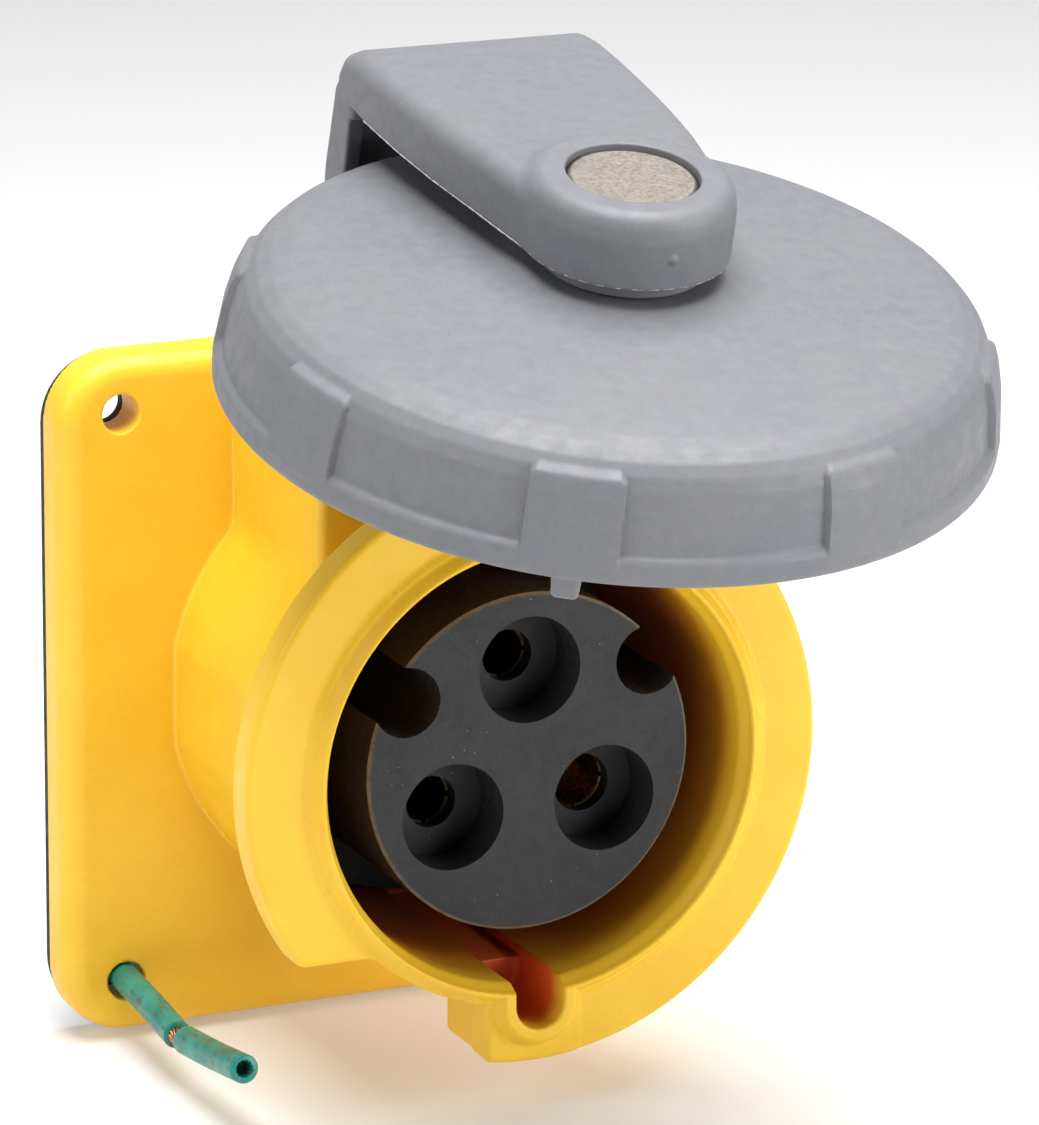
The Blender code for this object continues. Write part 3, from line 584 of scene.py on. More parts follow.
def insert_plastic():
    look = Look("dark_insert_plastic", 0.5, Specular_IOR_Level=0.30)
    colour = look.mix(look.span(look.noise(0.018, 3.0), 0.32, 0.70), INSERT_DARK, INSERT_PALE)
    colour = look.mix(look.span(look.noise(0.00060, 3.0, 0.7), 0.52, 0.78, 0.0, 0.30), colour,
                      (0.075, 0.075, 0.073))
    colour = look.mix(look.specks(0.0026, 0.00014, 0.34), colour, (0.28, 0.28, 0.27))
    dust = look.sum("MULTIPLY", look.specks(0.0012, 0.00012, 0.25),
                    look.span(look.noise(0.014, 2.0), 0.52, 0.64))
    colour = look.mix(dust, colour, (0.22, 0.215, 0.20))
    ring, out = look.ring()
    rim = look.sum("MULTIPLY", look.span(ring, INSERT - 0.00075, INSERT - 0.00045),
                   look.span(out, -INSERT_FRONT + 0.0010, -INSERT_FRONT + 0.0006))
    streak = look.span(look.noise(0.0016, 2.0), 0.25, 0.60, 0.55, 1.0)
    colour = look.mix(look.sum("MULTIPLY", rim, streak), colour, (0.17, 0.135, 0.10))
    look.put("Base Color", colour)
    look.put("Roughness", look.span(look.noise(0.0022, 3.0), 0.3, 0.7, 0.42, 0.60))
    under = look.bump(look.noise(0.0032, 2.0), 0.00004)
    look.put("Normal", look.bump(look.noise(0.00040, 2.0), 0.000018, under))
    return look.material


def rubber(name, dark, pale, grain):
    look = Look(name, 0.75, Specular_IOR_Level=0.35)
    colour = look.mix(look.span(look.noise(0.010, 4.0), 0.3, 0.7), dark, pale)
    colour = look.mix(look.span(look.noise(0.0007, 2.0), 0.5, 0.8, 0.0, 0.5), colour, grain)
    look.put("Base Color", colour)
    look.put("Roughness", look.span(look.noise(0.003, 3.0), 0.3, 0.7, 0.62, 0.88))
    look.put("Normal", look.bump(look.noise(0.0006, 3.0), 0.00005))
    return look.material


def metal(name, dark, pale, rough, grain, sparkle=0.0, tarnish=None, relief=0.03):
    look = Look(name, rough, 1.0)
    colour = look.mix(look.span(look.noise(0.006, 4.0), 0.3, 0.7), dark, pale)
    if tarnish:
        colour = look.mix(look.span(look.noise(0.0025, 4.0, 0.7), 0.50, 0.72, 0.0, 0.6), colour,
                          tarnish)
    if sparkle:
        colour = look.mix(look.specks(0.0016, 0.00010, sparkle), colour, (1.0, 0.97, 0.92))
        colour = look.mix(look.specks(0.0019, 0.00012, sparkle), colour, (0.30, 0.27, 0.24))
    look.put("Base Color", colour)
    look.put("Roughness", look.span(look.noise(grain * 3, 3.0), 0.3, 0.7, rough - 0.08,
                                    rough + 0.10))
    look.put("Normal", look.bump(look.noise(grain, 3.0), grain * relief))
    return look.material


def green_insulation():
    look = Look("green_wire_insulation", 0.34, Specular_IOR_Level=0.5)
    colour = look.mix(look.span(look.noise(0.007, 3.0), 0.3, 0.7), GREEN_DEEP, GREEN_PALE)
    # Worn, broken marks along the insulation.
    along = look.stretched((0.9, 0.35, 0.9))
    worn = look.sum("MULTIPLY", look.span(look.noise(0.0011, 1.0, 0.4, along, 0.8), 0.57, 0.62),
                    look.span(look.noise(0.0060, 2.0), 0.46, 0.54))
    colour = look.mix(look.sum("MULTIPLY", worn, 0.8), colour, (0.10, 0.075, 0.055))
    colour = look.mix(look.specks(0.0016, 0.00012, 0.3), colour, (0.25, 0.55, 0.50))
    look.put("Base Color", colour)
    look.put("Roughness", look.span(look.noise(0.002, 3.0), 0.3, 0.7, 0.28, 0.46))
    look.put("Normal", look.bump(look.noise(0.0010, 3.0), 0.00005))
    return look.material


YELLOW_DEEP, YELLOW_PALE = (0.88, 0.52, 0.021), (0.93, 0.58, 0.034)
YELLOW_GRAIN = (0.80, 0.44, 0.02)
# Painted shade colours for the inside of the mouth and the keyway channel.
YELLOW_PAINTED_SHADE_INSIDE, YELLOW_PAINTED_SHADE_FAR_INSIDE = (0.76, 0.25, 0.012), (0.46, 0.095, 0.018)
YELLOW_PAINTED_SHADE_CHANNEL = (0.80, 0.13, 0.030)
GREY_COOL, GREY_WARM = (0.156, 0.162, 0.180), (0.168, 0.171, 0.183)
GREY_DUSTY, GREY_GRAIN = (0.215, 0.220, 0.238), (0.125, 0.128, 0.140)
INSERT_DARK, INSERT_PALE = (0.021, 0.021, 0.022), (0.027, 0.027, 0.028)
FLASH_DARK, FLASH_PALE = (0.28, 0.29, 0.31), (0.62, 0.63, 0.66)
GREEN_DEEP, GREEN_PALE = (0.010, 0.190, 0.150), (0.020, 0.300, 0.240)

LOOKS = {
    "yellow_nylon": yellow_plastic(),
    "grey_nylon": grey_plastic(),
    "grey_nylon_thin": thin_flash(),
    "insert_plastic": insert_plastic(),
    "black_rubber": rubber("gasket_rubber", (0.020, 0.019, 0.018), (0.034, 0.031, 0.029),
                           (0.07, 0.07, 0.07)),
    "seal_rubber": rubber("lid_seal_rubber", (0.060, 0.060, 0.064), (0.095, 0.095, 0.10),
                          (0.14, 0.14, 0.14)),
    # A dark copy of the brass, with tarnish mottling in it: painted shade for the line contacts
    # deep in their wells.
    "brass_painted_shade": metal("brass_in_painted_shade", (0.10, 0.065, 0.03), (0.16, 0.10, 0.05), 0.45, 0.0006,
                        tarnish=(0.05, 0.03, 0.015)),
    "brass": metal("brass", (0.60, 0.38, 0.12), (0.78, 0.55, 0.24), 0.30, 0.0006,
                   tarnish=(0.34, 0.20, 0.08)),
    "nickel": metal("nickel", (0.33, 0.295, 0.265), (0.37, 0.33, 0.295), 0.52, 0.0003, 0.10,
                    relief=0.002),
    "steel": metal("steel", (0.45, 0.45, 0.46), (0.60, 0.60, 0.62), 0.32, 0.0006),
    "copper": metal("copper", (0.55, 0.20, 0.09), (0.75, 0.36, 0.20), 0.34, 0.0004,
                    tarnish=(0.22, 0.09, 0.05)),
    "green_insulation": green_insulation(),
}


# ---- the yellow housing ------------------------------------------------------------------------
EAR_SIDE = [(0.030, PLATE_FRONT - 0.001), (0.068, PLATE_FRONT - 0.001), (0.0735, 0.0290),
            (0.0791, 0.0388), (EAR_TOP, 0.0440), (0.0780, 0.0507), (0.0720, EAR_FRONT),
            (0.030, EAR_FRONT)]
SLOT_SIDE = [(0.0590, 0.0320), (0.100, 0.0230), (0.100, 0.0700), (0.0590, 0.0700)]


def mouth(x, y):
    """The mouth's outline: the round bore and the keyway below it."""
    return either(disc(x, y, BORE), capsule(x, y, -KEY_BOTTOM + KEY_HALF, -0.030, KEY_HALF))


def housing_field(x, y, z):
    rho = np.hypot(x, y)
    plate = both(rounded_box(x, y, PLATE_HALF, PLATE_HALF, PLATE_CORNER), z - PLATE_FRONT,
                 PLATE_ROUND)
    plate = both(plate, PLATE_BACK - z, 0.0004)

    barrel = both(rho - BARREL, -LABEL_FLAT - x, 0.0002)
    barrel = both(both(barrel, z - COLLAR_FRONT), 0.0060 - z, 0.0004)

    collar = both(rho - COLLAR, slab(z, COLLAR_BACK, COLLAR_FRONT), 0.0015)
    low_gap = both(x - GAP_X, y - GAP_Y)
    high_gap = both(-GAP_X - x, -GAP_Y - y)
    collar = less(collar, np.minimum(low_gap, high_gap), 0.0013)

    block = both(both(np.abs(x) - BLOCK_HALF, rho - BLOCK_RADIUS, 0.0015), y + 0.045)
    block = both(block, slab(z, BLOCK_BACK, COLLAR_FRONT - 0.0002), 0.0010)

    ears = both(polygon(y, z, EAR_SIDE), np.abs(x) - EAR_OUT, 0.0022)
    ears = less(ears, both(polygon(y, z, SLOT_SIDE), np.abs(x) - EAR_IN), 0.0009)

    body = either(barrel, collar, 0.0028)
    body = either(body, block, 0.0010)
    body = either(body, ears, 0.0022)
    body = either(body, plate, 0.0009)

    # The sealing bead stands round the whole mouth, keyway and all.
    away = mouth(x, y)
    rise = ease((BEAD_FOOT - away) / (BEAD_FOOT - BEAD_TOP))
    top = COLLAR_FRONT + (LIP_FRONT - COLLAR_FRONT) * rise
    bead = both(both((z - top) * 0.68, away - BEAD_FOOT), COLLAR_FRONT - 0.0030 - z)
    body = either(body, bead, 0.0006)

    flare = 0.0016 * ease((z - 0.0900) / (LIP_FRONT - 0.0900)) - 0.0006 * ease((0.030 - z) / 0.02)
    bore = both((rho - BORE - flare) * 0.92, FLOOR_FRONT - z)
    keyway = both(capsule(x, y, -KEY_BOTTOM + KEY_HALF, -0.030, KEY_HALF), KEY_BACK - z, 0.0012)
    groove = both(both(np.abs(x) - KEY_HALF, -0.0487 - y), both(y + 0.040, FLOOR_FRONT - z))
    opening = np.minimum(np.minimum(bore, groove), keyway)
    opening = np.minimum(opening, both(rho - FLOOR_HOLE, FLOOR_BACK - 0.001 - z))
    opening = np.minimum(opening, both(rho - REAR_RECESS, z - FLOOR_BACK))
    body = less(body, opening, 0.0005)

    holes = disc(np.abs(x), np.abs(y), HOLE_RADIUS, (HOLE_X, HOLE_Y))
    for angle, radius in NOTCHES:
        holes = np.minimum(holes, disc(x, y, 0.0025, polar(angle, radius)))
    body = less(body, holes, 0.0004)
    return less(body, both(disc(y, z, PIN + 0.0002, (HINGE_UP, HINGE_OUT)), np.abs(x) - 0.05),
                0.0003)


# ---- the cap's arm -----------------------------------------------------------------------------
RIM = CAP_LIP - HINGE_OUT               # height of the cap's rim plane in the hinge's axes
ARM_BACK = 0.0137
ARM_ROUND = 0.0046                      # radius of the arm's upper edges
ARM_BULGE = 0.0014                      # how far its sides bulge half way to the boss
BOSS_ROUND = 0.0036
BOSS_AT = (0.0, -HINGE_UP)
LEG_HALF = ARM_HALF - 0.0005
LEG_BACK = 0.0132
ARM_OVER = [(-0.120, 0.0), (-0.120, RIM + 0.0484), (-0.0710, RIM + 0.0484),
            (-0.0502, RIM + 0.0480), (0.0030, RIM + 0.0443), (0.0084, RIM + 0.0433),
            (0.0118, RIM + 0.0412), (ARM_BACK, RIM + 0.0372), (ARM_BACK, 0.0)]
ARM_UNDER = [(-0.130, -0.030), (-0.130, RIM + BOSS_BOTTOM - SKIRT),
             (-0.0502, RIM + BOSS_BOTTOM - SKIRT),
             (-0.0100, RIM + 0.0333), (0.0300, RIM + 0.0330), (0.0300, -0.030)]
LEG_SIDE = [(0.0035, 0.0), (0.0035, RIM + 0.0340), (LEG_BACK, RIM + 0.0345),
            (LEG_BACK + 0.0014, 0.0480), (LEG_BACK + 0.0003, 0.0300), (0.0115, 0.0120),
            (0.0079, -0.0010)]


def arm_width(y):
    """Half width of the arm. It narrows to the boss in a slightly bulging line."""
    along = np.clip(-(y + 0.006) / (HINGE_UP - 0.006), 0, 1)
    return ARM_HALF - (ARM_HALF - BOSS) * along + ARM_BULGE * np.sin(np.pi * along)


def arm_plan(x, y):
    """The arm's outline from above, from the hinge to the round boss."""
    boss = disc(x, y, BOSS - 0.0002, BOSS_AT)
    return np.minimum(both(np.abs(x) - arm_width(y), -HINGE_UP - y), boss)


def arm_field(x, y, z):
    top = both(polygon(y, z, ARM_OVER), arm_plan(x, y), ARM_ROUND)
    top = less(top, polygon(y, z, ARM_UNDER), 0.0003)
    boss = both(disc(x, y, BOSS, BOSS_AT), z - RIM - BOSS_TOP, BOSS_ROUND)
    boss = both(boss, RIM + BOSS_BOTTOM - SKIRT - z, 0.0003)
    body = either(top, boss, 0.0018)
    leg = both(polygon(y, z, LEG_SIDE), np.abs(x) - LEG_HALF, 0.0014)
    leg = either(leg, both(disc(y, z, 0.0080), np.abs(x) - LEG_HALF, 0.0010), 0.0010)
    body = either(body, leg, 0.0004)
    # The cap turns under the arm, and the arm is hollow above it.
    reach = np.hypot(x, y + HINGE_UP)
    sweep = both(reach - CAP - 0.0012, slab(z, RIM - 0.0080, RIM + 0.0296))
    body = less(body, sweep, 0.0009)
    hollow = both(both(np.abs(x) - arm_width(y) + 0.0048, slab(y, -0.0460, 0.0088)),
                  slab(z, RIM - 0.0040, RIM + 0.0390))
    body = less(body, hollow, 0.0004)
    seat = both(disc(x, y, RIVET + 0.0006, BOSS_AT), RIM + 0.0465 - z)
    shank = disc(x, y, 0.0053, BOSS_AT)
    under = both(disc(x, y, 0.0180, BOSS_AT), z - RIM - BOSS_BOTTOM)
    body = less(body, np.minimum(np.minimum(seat, under), shank), 0.0004)
    # The mould's gate left a blob on the front of the boss.
    gate = np.sqrt(x ** 2 + (y + HINGE_UP + BOSS) ** 2 + (z - RIM - GATE_UP) ** 2) - 0.0010
    body = either(body, gate, 0.0005)
    return less(body, disc(y, z, PIN + GAP), 0.0003)


# ---- turned and cut pieces ---------------------------------------------------------------------
def turned(name, profile, axes=BARREL_AXES, steps=96, centre=(0.0, 0.0), closed=False):
    """A turned shape from its half outline, listed down the outer side."""
    mesh = bmesh.new()
    ring = [mesh.verts.new((radius, 0, height)) for radius, height in profile]
    pairs = list(zip(ring, ring[1:])) + ([(ring[-1], ring[0])] if closed else [])
    edges = [mesh.edges.new(pair) for pair in pairs]
    bmesh.ops.spin(mesh, geom=ring + edges, axis=(0, 0, 1), cent=(0, 0, 0), steps=steps,
                   angle=2 * math.pi, use_duplicate=False)
    bmesh.ops.remove_doubles(mesh, verts=mesh.verts, dist=2e-6)
    bmesh.ops.dissolve_degenerate(mesh, edges=mesh.edges, dist=1e-7)
    bmesh.ops.recalc_face_normals(mesh, faces=mesh.faces)
    data = bpy.data.meshes.new(name)
    mesh.to_mesh(data)
    mesh.free()
    data.transform(axes @ Matrix.Translation((*centre, 0)))
    return added(name, data)


def rod(name, radius, low, high, axes=BARREL_AXES, steps=64, centre=(0.0, 0.0)):
    return turned(name, [(0, high), (radius, high), (radius, low), (0, low)], axes, steps, centre)


def block(name, low, high, axes=BARREL_AXES):
    """A straight cutter between two corners."""
    mesh = bmesh.new()
    bmesh.ops.create_cube(mesh, size=1.0)
    low, high = Vector(low), Vector(high)
    for corner in mesh.verts:
        corner.co = (low + high) / 2 + Vector(a * b for a, b in zip(corner.co, high - low))
    data = bpy.data.meshes.new(name)
    mesh.to_mesh(data)
    mesh.free()
    data.transform(axes)
    return added(name, data)


def cut(piece, *tools):
    """Takes the tools' shapes out of a piece."""
    for tool in tools:
        change = piece.modifiers.new("cut", "BOOLEAN")
        change.operation = "DIFFERENCE"
        change.solver = "EXACT"
        change.object = tool
    applied(piece)
    for tool in tools:
        bpy.data.objects.remove(tool)
    return piece


def dressed(piece, node, body, look, width=0.0003, segments=2, angle=38):
    """Eases a piece's hard edges, shades the rest smooth and gives it its look."""
    mesh = bmesh.new()
    mesh.from_mesh(piece.data)
    bmesh.ops.dissolve_limit(mesh, angle_limit=math.radians(0.3), verts=mesh.verts,
                             edges=mesh.edges)
    mesh.to_mesh(piece.data)
    mesh.free()
    piece.data.shade_smooth()
    piece.data.set_sharp_from_angle(angle=math.radians(angle))
    bevel = piece.modifiers.new("edges", "BEVEL")
    bevel.width = width
    bevel.segments = segments
    bevel.limit_method = "ANGLE"
    bevel.angle_limit = math.radians(angle)
    bevel.harden_normals = True
    applied(piece)
    return finish_piece(piece, node, body, look)


# ---- the cap -----------------------------------------------------------------------------------
def follow(points, number):
    """Evenly spaced points along an outline."""
    points = np.array(points, float)
    length = np.concatenate([[0], np.cumsum(np.linalg.norm(np.diff(points, axis=0), axis=1))])
    at = np.linspace(0, length[-1], number)
    return np.stack([np.interp(at, length, points[:, axis]) for axis in (0, 1)], 1)


def softened(points, rounds):
    """Rounds off an outline's corners and keeps its ends."""
    points = np.array(points, float)
    for _ in range(rounds):
        points[1:-1] = 0.25 * points[:-2] + 0.5 * points[1:-1] + 0.25 * points[2:]
    return points


def cap_outline():
    """Half outline of the cap between its pads, and how far a pad stands out of each point."""
    crown = [(0.0053, CAP_CROWN), (0.0200, CAP_CROWN), (0.0215, 0.0301), (0.0250, 0.0294),
             (0.0450, 0.0279), (0.0600, 0.0265), (0.0660, 0.0257)]
    side = [(0.0660, 0.0257), (0.0694, 0.0248), (0.0722, 0.0233), (0.0742, 0.0211),
            (0.0755, 0.0183), (0.0764, 0.0140), (CAP_WALL, 0.0062), (CAP - 0.0006, 0.0055),
            (CAP, 0.0047), (CAP + 0.0001, 0.0009), (CAP - 0.0004, 0.0001), (CAP - 0.0012, 0.0)]
    inside = [(0.0748, 0.0), (0.0744, 0.0008), (0.0727, 0.0165), (0.0716, 0.0195), (0.0690, 0.0210),
              (0.0570, 0.0226), (0.0570, 0.0204), (0.0430, 0.0204), (0.0430, 0.0238),
              (0.0220, 0.0252), (0.0053, 0.0252)]
    outside = np.concatenate([softened(follow(crown, 44), 1)[:-1], softened(follow(side, 104), 2)])
    radius, height = outside.T
    pad = np.interp(height, (0.0030, 0.0130, 0.0170, 0.0200, 0.0216),
                    (CAP + 0.0002, 0.0781, 0.0772, 0.0761, 0.0752))
    proud = np.maximum(pad - radius, 0) * ease((0.0220 - height) / 0.0014) * (radius > 0.070)
    proud = proud * (height > 0.0030)
    profile = np.concatenate([outside, follow(inside, 56)])
    return profile, np.concatenate([proud, np.zeros(56)])


def make_cap():
    profile, proud = cap_outline()
    # The pads' upper corners are rounded.
    drawn_in = 0.016 * (1 - ease((0.0220 - profile[:, 1]) / 0.0022))
    half = math.radians(CAP_PAD_HALF) - drawn_in
    centres = [math.radians(CAP_PAD_FIRST + 45 * k) for k in range(8)]
    edges = [middle + side * (math.radians(CAP_PAD_HALF) + np.linspace(-0.026, 0.012, 15))
             for middle in centres for side in (-1, 1)]
    turns = np.concatenate([np.linspace(-math.pi, math.pi, 181)[:-1]] + edges)
    turns = np.sort((turns + math.pi) % (2 * math.pi) - math.pi)
    turns = turns[np.concatenate([[True], np.diff(turns) > 0.0010])]
    offset = np.min([np.abs((turns - m + math.pi) % (2 * math.pi) - math.pi) for m in centres], 0)
    mask = ease((half[None, :] - offset[:, None]) / 0.0085 + 0.5)
    radii = profile[None, :, 0] + proud[None, :] * mask
    points = np.stack([radii * np.cos(turns)[:, None], radii * np.sin(turns)[:, None],
                       np.broadcast_to(profile[:, 1], radii.shape)], -1).reshape(-1, 3)
    rows, columns = radii.shape
    i, j = np.meshgrid(np.arange(rows), np.arange(columns), indexing="ij")
    ahead, below = (i + 1) % rows, (j + 1) % columns
    faces = np.stack([i * columns + j, i * columns + below, ahead * columns + below,
                      ahead * columns + j], -1).reshape(-1, 4)
    data = as_mesh("cap_shell", points, faces, CAP_AXES)
    data.shade_smooth()
    data.set_sharp_from_angle(angle=math.radians(50))
    return finish_piece(added("cap_shell", data), "cover_cap", "cap", "grey_nylon")


def make_lugs():
    for number, angle in enumerate(LUG_ANGLES):
        def lug(x, y, z, a=math.radians(angle)):
            along, across = x * math.cos(a) + y * math.sin(a), y * math.cos(a) - x * math.sin(a)
            width = 0.0030 - 0.0003 * ease(-z / 0.006)
            peg = both(both(np.abs(across) - width, slab(along, 0.0602, 0.0753), 0.0012),
                       slab(z, LUG_DROP, 0.0024), 0.0011)
            web = both(both(np.abs(across) - 0.0026, slab(along, 0.0682, 0.0752), 0.0008),
                       slab(z, -0.002, 0.0108), 0.0012)
            return either(peg, web, 0.0010)
        spot = polar(angle, 0.0677)
        moulded(f"cap_lug_{number}", lug, (spot[0] - 0.011, spot[1] - 0.011, LUG_DROP),
                (spot[0] + 0.011, spot[1] + 0.011, 0.011), CAP_AXES, None, "cap", "grey_nylon",
                cell=0.0004, triangles=9000)


def make_seal():
    seal = turned("lid_seal", [(0.0560, 0.0201), (0.0560, 0.0168), (0.0553, 0.0161),
                               (0.0437, 0.0161), (0.0430, 0.0168), (0.0430, 0.0201)], CAP_AXES, 128,
                  closed=True)
    dressed(seal, "cap_seal", "cap", "seal_rubber", 0.0006, 3)


def make_rivet():
    head = [(0.0, RIVET_TOP), (RIVET - 0.0006, RIVET_TOP), (RIVET, RIVET_TOP - 0.0005),
            (RIVET, 0.0468), (0.0050, 0.0468), (0.0050, 0.0222), (0.0085, 0.0222),
            (0.0080, 0.0200), (0.0, 0.0192)]
    dressed(turned("rivet", head, CAP_AXES, 128), "pivot_rivet", "arm", "nickel", 0.0003, 3)
    washer = turned("washer", [(0.0130, 0.0243), (0.0130, 0.0225), (0.0053, 0.0225),
                               (0.0053, 0.0243)], CAP_AXES, 96, closed=True)
    dressed(washer, "rivet_washer", "arm", "steel", 0.0003)
    spacer = turned("spacer", [(0.0160, BOSS_BOTTOM - GAP), (0.0165, BOSS_BOTTOM - 0.0010),
                               (0.0168, CAP_CROWN + GAP), (0.0053, CAP_CROWN + GAP),
                               (0.0053, BOSS_BOTTOM - GAP)], CAP_AXES, 96, closed=True)
    dressed(spacer, "arm_spacer", "arm", "grey_nylon", 0.0004)


# ---- contacts and what holds them --------------------------------------------------------------
def sizes_of(name):
    """Radii of a socket's hole, chamber, bore and sleeve; the earth's are larger."""
    return (0.0063, 0.0079, 0.0061, 0.0076) if "earth" in name else (0.0056, 0.0073, 0.0051, 0.0070)


def clamp_axes(angle):
    """Axes of the wire clamp screw at the rear of the sleeve at that angle, z outwards."""
    return (BARREL_AXES @ Matrix.Translation((*polar(angle, SOCKET_CIRCLE), CLAMP_OUT))
            @ Matrix.Rotation(math.radians(angle), 4, "Z")
            @ Matrix.Rotation(math.radians(90), 4, "Y"))


def screw_holes(label):
    """Cutters for the holes of the carrier's two screws."""
    return [rod(f"{label}_{number}", SCREW_HOLE, 0.0, 0.05, centre=polar(angle, out), steps=32)
            for number, (angle, out) in enumerate(NOTCHES)]


def socket_tools(label):
    """Cutters for the wells, the sleeves' chambers and the carrier's screws."""
    tools = []
    for name, angle in SOCKETS.items():
        hole, chamber, _, _ = sizes_of(name)
        well = [(0.0, 0.0950), (WELL, 0.0950), (WELL, WELL_FLOOR), (hole, WELL_FLOOR),
                (hole, 0.0722), (chamber, 0.0722), (chamber, 0.0100), (0.0, 0.0100)]
        tools.append(turned(f"{label}_{name}", well, centre=polar(angle, SOCKET_CIRCLE), steps=80))
    return tools + screw_holes(f"{label}_screw")


def make_insert():
    edge = 0.0006
    profile = [(0.0, INSERT_FRONT), (INSERT - edge, INSERT_FRONT), (INSERT, INSERT_FRONT - edge),
               (INSERT, INSERT_FLANGE_FRONT + GAP), (0.0, INSERT_FLANGE_FRONT + GAP)]
    insert = turned("insert", profile, steps=180)
    cut(insert, *socket_tools("well"),
        *[rod(f"notch_{number}", NOTCH, NOTCH_FLOOR, 0.10, centre=polar(angle, radius))
          for number, (angle, radius) in enumerate(NOTCHES)])
    dressed(insert, "contact_carrier", "receptacle", "insert_plastic", 0.00022, 2)
    flange = rod("insert_flange", INSERT_FLANGE, FLOOR_FRONT + GAP, INSERT_FLANGE_FRONT, steps=128)
    cut(flange, *socket_tools("seat"))
    dressed(flange, "carrier_flange", "receptacle", "insert_plastic")


def make_insert_screws():
    for (angle, radius), side in zip(NOTCHES, ("left", "right")):
        spot, head = polar(angle, radius), NOTCH_FLOOR + GAP
        screw = turned(f"holding_screw_{side}",
                       [(0.0, head + 0.0030), (0.0036, head + 0.0030), (0.0046, head + 0.0020),
                        (0.0046, head), (0.0023, head), (0.0023, 0.0130), (0.0, 0.0130)],
                       centre=spot, steps=48)
        cross = [block(f"drive_{side}_{number}", (spot[0] - wide, spot[1] - deep, head + 0.0012),
                       (spot[0] + wide, spot[1] + deep, 0.05))
                 for number, (wide, deep) in enumerate(((0.0030, 0.0006), (0.0006, 0.0030)))]
        cut(screw, *cross)
        dressed(screw, f"carrier_screw_{side}", "receptacle", "steel", 0.0002)


def make_contacts():
    for name, angle in SOCKETS.items():
        _, _, bore, outer = sizes_of(name)
        spot, groove = polar(angle, SOCKET_CIRCLE), outer - 0.0009
        label = name.replace("contact_", "")
        profile = [(0.0, 0.0200), (bore, 0.0200), (bore, 0.0716), (bore + 0.0003, SLEEVE_FRONT),
                   (outer - 0.0004, SLEEVE_FRONT), (outer, SLEEVE_FRONT - 0.0004), (outer, 0.0660),
                   (groove, 0.0660), (groove, 0.0630), (outer, 0.0630), (outer, 0.0240),
                   (0.0070, 0.0234), (0.0070, CONTACT_BACK), (0.0040, CONTACT_BACK),
                   (0.0040, 0.0010), (0.0, 0.0010)]
        turn = clamp_axes(angle)
        sleeve = turned(f"sleeve_{label}", profile, centre=spot, steps=72)
        slits = [block(f"slit_{label}_{number}", (spot[0] - wide, spot[1] - deep, 0.0420),
                       (spot[0] + wide, spot[1] + deep, 0.10))
                 for number, (wide, deep) in enumerate(((0.010, 0.0005), (0.0005, 0.010)))]
        cut(sleeve, *slits, rod(f"clamp_hole_{label}", 0.0033, 0.0, 0.020, turn, 32))
        # The line contacts take the dark copy of the brass, which is painted shade in their wells.
        # The earth contact takes the plain brass.
        dressed(sleeve, name, "receptacle", "brass" if "earth" in name else "brass_painted_shade", 0.00015)

        ring = [(outer, 0.0656), (outer, 0.0634), (groove + GAP, 0.0634), (groove + GAP, 0.0656)]
        spring = turned(f"spring_{label}", ring, centre=spot, steps=72, closed=True)
        dressed(spring, f"{name}_ring_spring", "receptacle", "steel", 0.0002)

        screw = turned(f"clamp_{label}", [(0.0, 0.0180), (0.0024, 0.0180), (0.0030, 0.0174),
                                          (0.0030, 0.0045), (0.0, 0.0045)], turn, 40)
        cut(screw, block(f"slot_{label}", (-0.0004, -0.004, 0.0166), (0.0004, 0.004, 0.020), turn))
        dressed(screw, f"{name}_clamp_screw", "receptacle", "steel", 0.0002)


def make_terminal_block():
    rear = turned("rear_block", [(0.0, FLOOR_BACK - GAP), (REAR, FLOOR_BACK - GAP),
                                 (REAR, REAR_BACK + 0.002), (REAR - 0.002, REAR_BACK),
                                 (0.0, REAR_BACK)], steps=128)
    tools = []
    for name, angle in SOCKETS.items():
        tools.append(turned(f"chamber_{name}",
                            [(0.0, 0.05), (0.0073, 0.05), (0.0073, CONTACT_BACK - GAP),
                             (0.0052, CONTACT_BACK - GAP), (0.0052, -0.05), (0.0, -0.05)],
                            centre=polar(angle, SOCKET_CIRCLE), steps=64))
        tools.append(rod(f"access_{name}", 0.0040, 0.0, 0.040, clamp_axes(angle), 40))
    tools += screw_holes("rear_screw")
    dressed(cut(rear, *tools), "terminal_block", "receptacle", "insert_plastic", 0.0004)


def make_hinge_pin():
    across = BARREL_AXES @ Matrix.Translation((0, HINGE_UP, HINGE_OUT)) @ Matrix.Rotation(
        math.radians(90), 4, "Y")
    end = EAR_OUT + 0.0030
    dressed(rod("pin", PIN, -end, end, across, 48), "hinge_pin", "receptacle", "steel", 0.0004, 3)
    for side, sign in (("left", -1), ("right", 1)):
        inner, outer = sorted((sign * (EAR_OUT + GAP), sign * (EAR_OUT + 0.0012)))
        clip = turned(f"clip_{side}", [(0.0052, outer), (0.0052, inner), (PIN + 0.00025, inner),
                                       (PIN + 0.00025, outer)], across, 64, closed=True)
        dressed(clip, f"hinge_clip_{side}", "receptacle", "steel", 0.0002)


